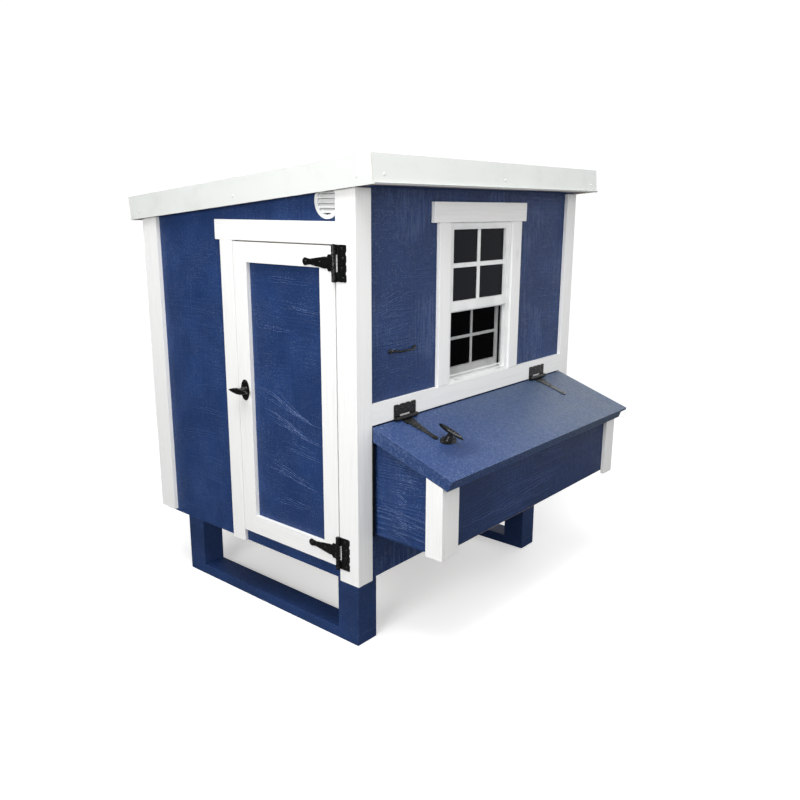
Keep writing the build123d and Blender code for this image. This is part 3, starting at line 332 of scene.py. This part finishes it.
def vinyl(name):
    """Extruded white vinyl: faint draw lines and a soft sheen."""
    g = Graph(name)
    draw = g.noise(g.scaled((1.0, 0.5, 0.08)), 700.0, 2.0)
    cloud = g.noise(g.place, 14.0, 4.0)
    colour = g.mix(g.span(cloud, 0.35, 0.75), VINYL, VINYL_SHADE)
    soil = g.maths("MULTIPLY", g.edges(1.0 * MM), g.span(g.noise(g.place, 110.0, 3.0), 0.5, 0.7, 0.0, 0.4))
    colour = g.mix(soil, colour, KNOT)
    g.feed(g.shader.inputs["Coat Weight"], 0.15)
    return g.paint(colour, g.span(cloud, 0.3, 0.7, 0.30, 0.42), g.bump(draw, 0.05 * MM))


def iron(name):
    """Black hammered ironware with a baked enamel sheen, rubbed on its edges."""
    g = Graph(name)
    dents = g.cells(g.place, 210.0)
    peel = g.noise(g.place, 900.0, 2.0)
    relief = g.bump(dents, 2.0 * MM)
    relief = g.bump(peel, 0.08 * MM, relief)
    rub = g.maths("MULTIPLY", g.edges(0.8 * MM), g.span(g.noise(g.place, 150.0, 3.0), 0.35, 0.6, 0.2, 1.0))
    colour = g.mix(g.maths("MULTIPLY", rub, 0.7), IRON, IRON_RUBBED)
    g.feed(g.shader.inputs["Specular IOR Level"], 0.26)
    g.feed(g.shader.inputs["Coat Weight"], 0.16)
    g.feed(g.shader.inputs["Coat Roughness"], 0.10)
    return g.paint(colour, g.span(dents, 0.1, 0.7, 0.20, 0.34), relief)


def steel(name):
    """Dull zinc plating with a spangle."""
    g = Graph(name, 0.38, 0.9)
    spangle = g.cells(g.place, 240.0, "F1")
    colour = g.mix(g.span(spangle, 0.1, 0.7), ZINC, ZINC_DULL)
    return g.paint(colour, None, g.bump(g.noise(g.place, 700.0, 2.0), 0.05 * MM))


def roof_metal(name):
    """Pre-painted roofing sheet: slight oil-canning, fine scratches and a satin finish."""
    g = Graph(name)
    waves = g.noise(g.scaled((0.6, 0.35, 1.0)), 9.0, 2.0)
    peel = g.noise(g.place, 820.0, 2.0)
    scratch = g.span(g.noise(g.scaled((0.02, 0.02, 1.0)), 900.0, 2.0, 0.7), 0.66, 0.78)
    relief = g.bump(waves, 2.4 * MM)
    relief = g.bump(peel, 0.05 * MM, relief)
    soil = g.span(g.noise(g.place, 12.0, 5.0, 0.65), 0.45, 0.8, 0.0, 0.6)
    colour = g.mix(soil, ROOF_WHITE, ROOF_SOILED)
    colour = g.mix(g.maths("MULTIPLY", scratch, 0.25), colour, ZINC)
    g.feed(g.shader.inputs["Coat Weight"], 0.2)
    return g.paint(colour, g.span(waves, 0.3, 0.7, 0.32, 0.44), relief)


def bare_wood(name, axis, light, dark, rings):
    """Unpainted softwood or plywood face with figured grain and pores."""
    g = Graph(name)
    figure = g.bands(g.scaled(along(axis, 0.07)), rings, 12.0, 1.1, "X" if axis != "x" else "Y")
    pores = g.noise(g.scaled(along(axis, 0.03)), 520.0, 3.0, 0.6)
    tint = g.maths("MULTIPLY", g.maths("POWER", figure, 1.6), 0.75)
    colour = g.mix(tint, light, dark)
    colour = g.mix(g.span(pores, 0.55, 0.8, 0.0, 0.35), colour, dark)
    relief = g.bump(figure, 0.25 * MM)
    relief = g.bump(pores, 0.2 * MM, relief)
    return g.paint(colour, g.span(pores, 0.3, 0.7, 0.62, 0.78), relief)


def glass(name):
    """Dark window glass with faint dust."""
    g = Graph(name, 0.08)
    dust = g.noise(g.place, 240.0, 4.0, 0.7)
    colour = g.mix(g.span(dust, 0.55, 0.85, 0.0, 0.35), GLASS, GLASS_DUST)
    g.feed(g.shader.inputs["Specular IOR Level"], 0.08)
    g.feed(g.shader.inputs["Alpha"], 0.93)
    return g.paint(colour, g.span(dust, 0.4, 0.8, 0.07, 0.18), g.bump(g.noise(g.place, 6.0), 0.3 * MM))


def screened_glass(name):
    """The pane behind the fly screen: nothing is reflected back through the weave."""
    g = Graph(name, 0.5)
    dust = g.noise(g.place, 240.0, 4.0, 0.7)
    g.feed(g.shader.inputs["Specular IOR Level"], 0.0)
    return g.paint(g.mix(g.span(dust, 0.55, 0.85, 0.0, 0.3), SCREEN_BLACK, GLASS))


def insect_mesh(name):
    """Woven fibreglass fly screen: fine wires with clear holes between them."""
    g = Graph(name, 0.8)
    wires = []
    for direction in "YZ":
        weave = g.make(
            "TexWave", {"Vector": g.place, "Scale": 170.0}, wave_type="BANDS", bands_direction=direction
        )
        wires.append(g.span(weave.outputs["Fac"], 0.70, 0.86))
    cover = g.maths("MAXIMUM", wires[0], wires[1])
    g.feed(g.shader.inputs["Specular IOR Level"], 0.05)
    g.feed(g.shader.inputs["Alpha"], g.span(cover, 0.0, 1.0, 0.02, 0.30))
    return g.paint(g.mix(cover, IRON, SCREEN_BLACK))


def black_pile(name):
    """Matt black sealing pile with short upright fibres."""
    g = Graph(name, 0.95)
    fibres = g.noise(g.scaled(along("z", 0.2)), 900.0, 2.0)
    g.feed(g.shader.inputs["Specular IOR Level"], 0.03)
    return g.paint(g.mix(fibres, SCREEN_BLACK, GLASS), None, g.bump(fibres, 0.4 * MM))


window_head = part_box("window_frame")[1][2]
siding_x = siding("siding_along_x", "x", strokes_mm=0.9, saw_mm=0.3, ring_mm=0.22, fleck=0.75)
siding_y = siding("siding_along_y", "y", strokes_mm=1.2, saw_mm=1.7, ring_mm=0.5, fleck=0.70)
# the nest front's paint is darkened to 0.78 as painted shade, for the shadow under the lid's overhang
nest_siding = siding(
    "nest_siding", "y", strokes_mm=0.3, saw_mm=0.25, ring_mm=0.4, fleck=0.16, shade=0.78
)
end_siding = siding("nest_end_siding", "x", strokes_mm=1.6, saw_mm=0.4, ring_mm=1.1, fleck=0.70)
timber_blue_x = blue_paint("blue_timber_along_x", "x", NAVY_DEEP, NAVY, wear=0.5, canvas=0.25)
timber_blue_z = blue_paint("blue_timber_along_z", "z", NAVY_DEEP, NAVY, wear=0.5, canvas=0.25)
latch_low, latch_high = (Vector(corner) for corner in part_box("lid_latch_base"))
SCUFF_BELOW_LATCH = Vector((0.045, 0.0, -0.026))
lid_scuff = (latch_low + latch_high) / 2 + SCUFF_BELOW_LATCH
lid_y0, lid_y1 = (corner[1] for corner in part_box("lid_panel"))
# the lid's paint pales towards its far end: painted sheen
lid_paint = blue_paint(
    "lid_paint", "y", NAVY, LID_BLUE, wear=0.9, canvas=0.85, smear=lid_scuff, sheen_span=(lid_y0, lid_y1)
)
white_x, white_y, white_z = (white_board("white_board_along_" + a, a) for a in "xyz")
white_window = white_board("white_window_trim", "z", window_head)
white_vinyl = vinyl("white_vinyl")
black_iron = iron("black_iron")
zinc = steel("zinc_plate")
roof_paint = roof_metal("roof_paint")
PINE_RINGS, PLY_RINGS = 26.0, 11.0
pine_x, pine_y, pine_z = (bare_wood("pine_along_" + a, a, PINE, PINE_DARK, PINE_RINGS) for a in "xyz")
plywood = bare_wood("plywood_face", "y", PLY, PLY_DARK, PLY_RINGS)
dark_glass = glass("dark_glass")
black_glass = screened_glass("black_glass")
fly_screen = insect_mesh("fly_screen")
pile = black_pile("black_pile")

FINISHES = {
    siding_x: "door_wall_panel back_wall_panel door_panel pop_door",
    siding_y: "window_wall_panel rear_wall_panel",
    nest_siding: "nest_front",
    end_siding: "nest_ends",
    timber_blue_x: "skids soffit_boards",
    timber_blue_z: "legs",
    lid_paint: "lid_panel lid_frame",
    white_x: "door_header door_top_rail door_bottom_rail",
    white_y: "hinge_board",
    white_z: "end_corner_boards side_corner_boards door_casing door_hinge_stile door_latch_stile "
    "nest_corner_boards pop_door_rails",
    white_window: "window_casings",
    white_vinyl: "window_frame upper_sash lower_sash louvre_vent",
    black_iron: "hinge_pads hinge_pins hinge_pad_screws door_hinge_straps door_screws door_latch_base "
    "door_latch_handle lid_hinge_straps lid_screws lid_latch_base lid_latch_handle pull_handle "
    "pop_door_knob",
    zinc: "door_latch_cam lid_latch_cam",
    roof_paint: "roof_sheet roof_screws",
    pine_x: "rafters nest_dividers roost_cleats",
    pine_y: "floor_frame wall_plates roof_rails roost_bars nest_floor",
    pine_z: "wall_studs door_stops",
    plywood: "floor_panel roof_deck",
    dark_glass: "upper_glass",
    black_glass: "lower_glass",
}

for finish, names in FINISHES.items():
    for name in names.split():
        for slot in nodes[name].material_slots:
            slot.material = finish


# ------------------------------------------------------------------ eased edges
def ease_edges(names, width, segments=2):
    """Rounds the arrises of square-cut pieces without touching their own meshes."""
    for name in names.split():
        piece = nodes[name]
        weld = piece.modifiers.new("weld", "WELD")
        weld.merge_threshold = 0.02 * MM
        flat = piece.modifiers.new("flat", "DECIMATE")
        flat.decimate_type = "DISSOLVE"
        flat.angle_limit = radians(0.5)
        bevel = piece.modifiers.new("ease", "BEVEL")
        bevel.width = width
        bevel.segments = segments
        bevel.limit_method = "ANGLE"
        bevel.angle_limit = radians(35)
        bevel.use_clamp_overlap = True
        shade = piece.modifiers.new("shade", "WEIGHTED_NORMAL")
        shade.keep_sharp = False


ease_edges("legs skids", 2.2 * MM, 3)
ease_edges("door_header door_casing hinge_board window_casings nest_corner_boards", 1.3 * MM)
ease_edges("end_corner_boards side_corner_boards", 1.3 * MM)
ease_edges("door_top_rail door_bottom_rail door_hinge_stile door_latch_stile", 1.1 * MM)
ease_edges("nest_front nest_ends soffit_boards pop_door pop_door_rails", 1.0 * MM)
ease_edges("window_frame upper_sash lower_sash", 0.7 * MM)
ease_edges("lid_frame", 1.2 * MM)


def link(name, mesh, body, material):
    """A new piece that rides on a body and takes its finish from a material slot."""
    piece = bpy.data.objects.new(name, mesh)
    bpy.context.scene.collection.objects.link(piece)
    mesh.materials.append(material)
    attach(piece, body)
    return piece


# ------------------------------------------------------------------ raised grain on the siding
def vein(bm, points, out, width, height):
    """One raised line of grain: a three-sided ridge, sunk a little into the board, pointed at its ends."""
    count = len(points)
    rings = []
    for i, point in enumerate(points):
        before, after = points[max(i - 1, 0)], points[min(i + 1, count - 1)]
        side = out.cross(after - before).normalized()
        swell = sin(pi * (i + 0.5) / count) ** 0.5
        foot = point - out * (0.2 * MM)
        ring = [foot + side * width * swell, foot - side * width * swell, point + out * height * swell]
        rings.append([bm.verts.new(p) for p in ring])
    for first, second in zip(rings, rings[1:]):
        for a in range(3):
            b = (a + 1) % 3
            bm.faces.new((first[a], first[b], second[b], second[a]))
    bm.faces.new(reversed(rings[0]))
    bm.faces.new(rings[-1])


GRAIN_STEP = 5 * MM
LINE_APART_MM, VEIN_WIDTH_MM, VEIN_HEIGHT_MM = (5.0, 8.5), (0.8, 1.5), (0.45, 0.8)
WAVERS = ((26, 0.7, 4.2 * MM), (110, 3.1, 1.8 * MM))  # waves per metre, shift per line, height


def grain(name, body, material, origin, run, out, groups, seed):
    """Groups of nested grain lines on one face.

    Each group is (start, finish, height, climb, lines): where it runs along the face, how high it lies
    and how far it climbs.
    """
    random.seed(seed)
    bm = bmesh.new()
    for start, finish, height, climb, lines in groups:
        for line in range(lines):
            first = start + random.uniform(0.0, 0.35) * (finish - start)
            last = finish - random.uniform(0.0, 0.30) * (finish - start)
            count = max(int((last - first) / GRAIN_STEP), 6)
            offset = height + line * random.uniform(*LINE_APART_MM) * MM
            points = []
            for i in range(count):
                u = first + (last - first) * i / (count - 1)
                share = (u - start) / (finish - start)
                bend = climb * share * share * (3 - 2 * share) * (1 + 0.12 * line)
                waver = sum(
                    noise.noise(Vector((u * waves, line * shift, seed))) * size
                    for waves, shift, size in WAVERS
                )
                points.append(origin + run * u + Z * (offset + bend + waver))
            width = random.uniform(*VEIN_WIDTH_MM) * MM
            vein(bm, points, out, width, random.uniform(*VEIN_HEIGHT_MM) * MM)
    mesh = bpy.data.meshes.new(name)
    bm.to_mesh(mesh)
    bm.free()
    return link(name, mesh, body, material)


rubbed = vein_paint("grain_rubbed", 1.0)
worn_grain = vein_paint("grain_worn", 0.50)
painted = vein_paint("grain_painted", 0.18)


def face_origin(node, normal):
    """A point on the outer face of a wall panel, from its box."""
    low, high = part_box(node)
    corner = high if normal.x + normal.y > 0 else low
    return Vector((corner[0] * abs(normal.x), corner[1] * abs(normal.y), 0))


def scattered(start, finish, low, high, count, seed):
    """Grain groups spread over a plain stretch of wall."""
    random.seed(seed)
    groups = []
    for i in range(count):
        middle = low + (high - low) * (i + random.uniform(0.25, 0.75)) / count
        a = start + random.uniform(0.0, 0.4) * (finish - start)
        b = finish - random.uniform(0.0, 0.4) * (finish - start)
        groups.append((a, b, middle, random.uniform(-14, 14) * MM, random.randint(2, 5)))
    return groups


STOP_SHORT = 4 * MM                                # from the boards beside a panel
LEFT_CORNER_W, SIDE_CORNER_W = 0.086, 0.054        # how far the corner boards reach over the panels
panel_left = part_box("door_latch_stile")[1][0] + STOP_SHORT
panel_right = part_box("door_hinge_stile")[0][0] - STOP_SHORT
door_grain = [
    (panel_left, panel_right, 0.795, -62 * MM, 9),
    (panel_left + 0.03, panel_right, 0.725, -50 * MM, 7),
    (panel_left, panel_right, 0.560, -38 * MM, 6),
    (panel_left + 0.12, panel_right, 1.085, -8 * MM, 5),
    (panel_left, panel_right - 0.12, 1.020, -5 * MM, 3),
    (panel_left + 0.10, panel_right, 0.640, -16 * MM, 5),
    (panel_left + 0.05, panel_right - 0.05, 0.450, -6 * MM, 4),
    (panel_left + 0.02, panel_right - 0.03, 1.170, -4 * MM, 3),
]
grain("door_panel_grain", "door", rubbed, face_origin("door_panel", -Y), X, -Y, door_grain, 3)

corner_left = cabin_low.x + LEFT_CORNER_W
casing_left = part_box("door_casing")[0][0]
wall_groups = scattered(corner_left, casing_left - STOP_SHORT, 0.30, 1.28, count=11, seed=5)
grain("door_wall_grain", "coop", painted, face_origin("door_wall_panel", -Y), X, -Y, wall_groups, 5)

near_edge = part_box("side_corner_boards")[0][1] + SIDE_CORNER_W
sash_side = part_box("window_casings")[0][1] - STOP_SHORT
far_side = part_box("window_casings")[1][1] + STOP_SHORT
far_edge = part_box("side_corner_boards")[1][1] - SIDE_CORNER_W
board_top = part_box("hinge_board")[1][2]
window_grain = [
    (near_edge, sash_side - 0.06, 1.085, 26 * MM, 9),
    (near_edge, sash_side, 1.020, 14 * MM, 7),
    (near_edge, sash_side - 0.03, 0.960, 8 * MM, 4),
    (near_edge + 0.05, sash_side, 1.185, 6 * MM, 3),
    (near_edge + 0.03, sash_side - 0.08, 0.905, 8 * MM, 2),
    (near_edge + 0.02, sash_side, 1.290, -5 * MM, 3),
]
window_grain += scattered(far_side, far_edge, board_top + 0.03, 1.38, count=6, seed=8)
grain("window_wall_grain", "coop", worn_grain, face_origin("window_wall_panel", X), Y, X, window_grain, 8)

nest_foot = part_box("nest_ends")[0][2]
end_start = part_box("window_casings")[1][0] + 6 * MM
end_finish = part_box("nest_corner_boards")[0][0] - STOP_SHORT
end_groups = scattered(end_start, end_finish, nest_foot + 0.01, 0.62, count=9, seed=12)
for side, normal in (("near", -Y), ("far", Y)):
    grain("nest_grain_" + side, "coop", rubbed, face_origin("nest_ends", normal), X, normal, end_groups, 12)
front_low, front_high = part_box("nest_front")
front_groups = scattered(
    front_low[1] + 0.07, front_high[1] - 0.07, front_low[2] + 0.02, front_high[2] - 0.03,
    count=5, seed=15,
)
grain("nest_front_grain", "coop", painted, face_origin("nest_front", X), Y, X, front_groups, 15)
rear_groups = scattered(near_edge + 0.02, far_edge - 0.02, 0.31, 1.33, count=13, seed=18)
grain("rear_wall_grain", "coop", painted, face_origin("rear_wall_panel", -X), Y, -X, rear_groups, 18)


# ------------------------------------------------------------------ forged pull handle
PULL_R_MM, BEAD_MM, END_MM = 3.4, 0.9, 1.0         # bar radius; what the beads and the ends add to it
BEAD_WAVES, SWAY_WAVES = 5.5, 2.5                  # along the bar
FOOT_R, FOOT_HALF, FOOT_RISE = 7.0 * MM, 9.5 * MM, 7.0 * MM


def pull_handle():
    """Bowed twig-like bar with beads along it and a flattened foot at each end."""
    low, high = (Vector(corner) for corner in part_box("pull_handle"))
    depth, length = high.x - low.x, high.y - low.y
    middle = (low + high) / 2
    bm = bmesh.new()
    count, sides = 64, 14
    rings = []
    for i in range(count + 1):
        t = i / count
        sway = sin(2 * pi * SWAY_WAVES * t) * 0.9 * MM
        bow = sin(pi * t) ** 0.7
        bead = max(0.0, sin(2 * pi * BEAD_WAVES * t)) ** 2
        thick = (PULL_R_MM + BEAD_MM * bead + END_MM * abs(2 * t - 1) ** 6) * MM
        reach = depth - 4.0 * MM - thick
        spine = Vector((
            low.x + thick * 0.4 + reach * bow, low.y + FOOT_HALF + (length - 2 * FOOT_HALF) * t,
            middle.z + sway - 1.4 * MM * bow,
        ))
        ring = []
        for k in range(sides):
            a = 2 * pi * k / sides
            ring.append(bm.verts.new(spine + (X * cos(a) + Z * sin(a)) * thick))
        rings.append(ring)
    for first, second in zip(rings, rings[1:]):
        for k in range(sides):
            bm.faces.new((first[k], first[(k + 1) % sides], second[(k + 1) % sides], second[k]))
    bm.faces.new(reversed(rings[0]))
    bm.faces.new(rings[-1])
    for y in (low.y + FOOT_HALF, high.y - FOOT_HALF):
        made = bmesh.ops.create_uvsphere(bm, u_segments=20, v_segments=12, radius=1.0)["verts"]
        for vert in made:
            co = vert.co.copy()
            out = max(co.x, 0.0) * FOOT_RISE
            vert.co = Vector((low.x + out, y + co.y * FOOT_HALF, middle.z + co.z * FOOT_R))
    mesh = bpy.data.meshes.new("forged_pull")
    bm.to_mesh(mesh)
    bm.free()
    for face in mesh.polygons:
        face.use_smooth = True
    piece = link("forged_pull", mesh, "coop", black_iron)
    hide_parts("pull_handle")


pull_handle()

# ------------------------------------------------------------------ fly screen over the lower sash
sash_low, sash_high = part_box("upper_sash")
frame_low, frame_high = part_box("window_frame")
screen_low = Vector((sash_low[0] + 4 * MM, sash_low[1] + 2 * MM, frame_low[2] + 17 * MM))
screen_high = Vector((screen_low[0] + 3 * MM, sash_high[1] - 2 * MM, sash_low[2] - 0.5 * MM))
RIM, RIM_EASE = 5 * MM, 0.5 * MM
TUCK, CLOTH_HALF = 1 * MM, 0.1 * MM                # cloth inside the rim; half its thickness


def box_into(bm, low, high):
    """Adds a box between two corners."""
    for vert in bmesh.ops.create_cube(bm, size=1.0)["verts"]:
        vert.co = Vector([low[i] if vert.co[i] < 0 else high[i] for i in range(3)])


def screen():
    """A slim rim with the mesh stretched across it."""
    bm = bmesh.new()
    low, high = screen_low, screen_high
    box_into(bm, low, (high[0], low[1] + RIM, high[2]))
    box_into(bm, (low[0], high[1] - RIM, low[2]), high)
    box_into(bm, (low[0], low[1] + RIM, low[2]), (high[0], high[1] - RIM, low[2] + RIM))
    box_into(bm, (low[0], low[1] + RIM, high[2] - RIM), (high[0], high[1] - RIM, high[2]))
    bmesh.ops.bevel(bm, geom=bm.edges[:], offset=RIM_EASE, segments=2, affect="EDGES")
    mesh = bpy.data.meshes.new("screen_rim")
    bm.to_mesh(mesh)
    bm.free()
    link("screen_rim", mesh, "coop", white_vinyl)
    cloth = bmesh.new()
    middle = (low[0] + high[0]) / 2
    box_into(
        cloth, (middle - CLOTH_HALF, low[1] + RIM - TUCK, low[2] + RIM - TUCK),
        (middle + CLOTH_HALF, high[1] - RIM + TUCK, high[2] - RIM + TUCK),
    )
    mesh = bpy.data.meshes.new("fly_screen")
    cloth.to_mesh(mesh)
    cloth.free()
    link("fly_screen", mesh, "coop", fly_screen)


screen()

# ------------------------------------------------------------------ black seals, and a painted shadow strip by the nest box
SEAL_EASE = 0.6 * MM
PILE_BACK, PILE_FRONT = 487.2, 490.0               # in front of the lower sash
BEAD_INNER, PILE_W = 160.0, 9.0                    # half the width between the beads; strip width
# painted shade: a black strip fills the gap between the near corner board and the nest end, where the wall
# lies in shadow
NEST_SHADOW_LOW, NEST_SHADOW_HIGH = (505.0, -559.0, 412.0), (527.0, -556.9)
LID_RIM_CLEAR = 9.0


def seal(name, low, high):
    """A strip of black pile, used for the sash seals and for the painted shadow strip by the nest box; its
    corners are in millimetres from under the cabin's middle.
    """
    low, high = (CENTRE + Vector(corner) * MM for corner in (low, high))
    bm = bmesh.new()
    box_into(bm, low, high)
    bmesh.ops.bevel(bm, geom=bm.edges[:], offset=SEAL_EASE, segments=2, affect="EDGES")
    mesh = bpy.data.meshes.new(name)
    bm.to_mesh(mesh)
    bm.free()
    link(name, mesh, "coop", pile)


window_y = (frame_low[1] + frame_high[1]) / 2 / MM - CENTRE.y / MM
pile_low, pile_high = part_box("lower_sash")[0][2] / MM + 1.0, sash_low[2] / MM
for side in (-1, 1):
    ends = sorted((window_y + side * BEAD_INNER, window_y + side * (BEAD_INNER - PILE_W)))
    seal(
        "sash_pile_" + ("near" if side < 0 else "far"),
        (PILE_BACK, ends[0], pile_low), (PILE_FRONT, ends[1], pile_high),
    )
nest_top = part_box("nest_ends")[1][2] / MM
# black strip standing for the shadow in the gap beside the nest end: painted shade
seal("nest_shadow_strip", NEST_SHADOW_LOW, (*NEST_SHADOW_HIGH, nest_top - LID_RIM_CLEAR))


# ------------------------------------------------------------------ floor, light and camera
FLOOR_R, FLOOR_FADE = 3.6, (1.6, 3.4)              # the floor is clear beyond the fade's end
FLOOR_DROP = 0.5 * MM
FLOOR_BOUNCE, FLOOR_GLOW = (0.11, 0.11, 0.11), 0.42
SKY_DIM, SKY_BRIGHT = 0.06, 0.80
BRIGHT_WAY, DIM_AT, BRIGHT_AT = (0.86, 0.46, 0.22), -0.5, 0.9
SEEN_WHITE = 1.05
PURE_WHITE = (1.0, 1.0, 1.0, 1.0)


def backdrop():
    """A pale studio floor that fades into the white behind it."""
    bm = bmesh.new()
    bmesh.ops.create_circle(bm, cap_ends=True, segments=96, radius=FLOOR_R)
    mesh = bpy.data.meshes.new("studio_floor")
    bm.to_mesh(mesh)
    bm.free()
    floor = bpy.data.objects.new("studio_floor", mesh)
    floor.location = CENTRE - Z * FLOOR_DROP
    bpy.context.scene.collection.objects.link(floor)
    g = Graph("studio_floor", 0.9)
    g.feed(g.shader.inputs["Specular IOR Level"], 0.0)
    seen = g.tree.nodes.new("ShaderNodeLightPath").outputs["Is Camera Ray"]
    cloud = g.noise(g.place, 2.0, 3.0)
    pale = g.mix(cloud, (0.88, 0.88, 0.88), (0.92, 0.92, 0.92))
    g.paint(g.mix(seen, FLOOR_BOUNCE, pale))
    g.feed(g.shader.inputs["Emission Color"], PURE_WHITE)
    g.feed(g.shader.inputs["Emission Strength"], g.maths("MULTIPLY", seen, FLOOR_GLOW))
    spread = g.tree.nodes.new("ShaderNodeVectorMath")
    spread.operation = "LENGTH"
    g.feed(spread.inputs[0], g.place)
    g.feed(g.shader.inputs["Alpha"], g.span(spread.outputs["Value"], *FLOOR_FADE, 1.0, 0.0))
    mesh.materials.append(g.material)


def softbox(name, place, aim, size, power, spread=pi):
    """A square area light that looks at a point; both are measured from under the cabin's middle."""
    data = bpy.data.lights.new(name, "AREA")
    data.shape = "SQUARE"
    data.size = size
    data.energy = power
    data.spread = spread
    lamp = bpy.data.objects.new(name, data)
    lamp.location = CENTRE + Vector(place)
    lamp.rotation_euler = (Vector(aim) - Vector(place)).to_track_quat("-Z", "Y").to_euler()
    bpy.context.scene.collection.objects.link(lamp)


def world():
    """White to the camera; to everything else an even sky that is brighter beyond the far corner."""
    sky = bpy.data.worlds.new("studio")
    bpy.context.scene.world = sky
    sky.use_nodes = True
    tree = sky.node_tree
    plain = tree.nodes["Background"]
    plain.inputs["Color"].default_value = PURE_WHITE
    heading = tree.nodes.new("ShaderNodeTexCoord")
    bright_way = tree.nodes.new("ShaderNodeVectorMath")
    bright_way.operation = "DOT_PRODUCT"
    bright_way.inputs[1].default_value = BRIGHT_WAY
    ramp = tree.nodes.new("ShaderNodeMapRange")
    ramp.inputs["From Min"].default_value = DIM_AT
    ramp.inputs["From Max"].default_value = BRIGHT_AT
    ramp.inputs["To Min"].default_value = SKY_DIM
    ramp.inputs["To Max"].default_value = SKY_BRIGHT
    tree.links.new(heading.outputs["Generated"], bright_way.inputs[0])
    tree.links.new(bright_way.outputs["Value"], ramp.inputs["Value"])
    tree.links.new(ramp.outputs["Result"], plain.inputs["Strength"])
    seen = tree.nodes.new("ShaderNodeBackground")
    seen.inputs["Color"].default_value = PURE_WHITE
    seen.inputs["Strength"].default_value = SEEN_WHITE
    paths = tree.nodes.new("ShaderNodeLightPath")
    choose = tree.nodes.new("ShaderNodeMixShader")
    tree.links.new(paths.outputs["Is Camera Ray"], choose.inputs["Fac"])
    tree.links.new(plain.outputs["Background"], choose.inputs[1])
    tree.links.new(seen.outputs["Background"], choose.inputs[2])
    tree.links.new(choose.outputs["Shader"], tree.nodes["World Output"].inputs["Surface"])


backdrop()
world()
softbox("key", place=(1.3, -4.6, 1.9), aim=(0.0, 0.0, 0.75), size=2.2, power=152)
softbox("top", place=(0.9, -1.5, 4.2), aim=(0.4, -0.2, 0.7), size=2.4, power=170)
softbox("side", place=(4.4, -0.4, 2.4), aim=(0.5, 0.0, 1.35), size=1.6, power=5.0, spread=radians(75))
softbox("back", place=(0.1, 4.3, 2.8), aim=(0.6, 0.2, 0.7), size=2.2, power=26)
bpy.context.scene.view_settings.view_transform = "Standard"

LENS, SENSOR = 35.5, 36.0
CAMERA_PLACE = (2.0337, -2.2281, 1.3912)           # from under the cabin's middle
HEADING, TILT_DOWN, ROLL = 40.13, 13.68, 0.24
camera_data = bpy.data.cameras.new("camera")
camera_data.lens = LENS
camera_data.sensor_width = SENSOR
camera = bpy.data.objects.new("camera", camera_data)
camera.location = CENTRE + Vector(CAMERA_PLACE)
aim = Matrix.Rotation(radians(HEADING), 4, "Z") @ Matrix.Rotation(radians(90 - TILT_DOWN), 4, "X")
camera.rotation_euler = (aim @ Matrix.Rotation(radians(ROLL), 4, "Z")).to_euler()
bpy.context.scene.collection.objects.link(camera)
bpy.context.scene.camera = camera

# ------------------------------------------------------------------ update the view layer
bpy.context.view_layer.update()
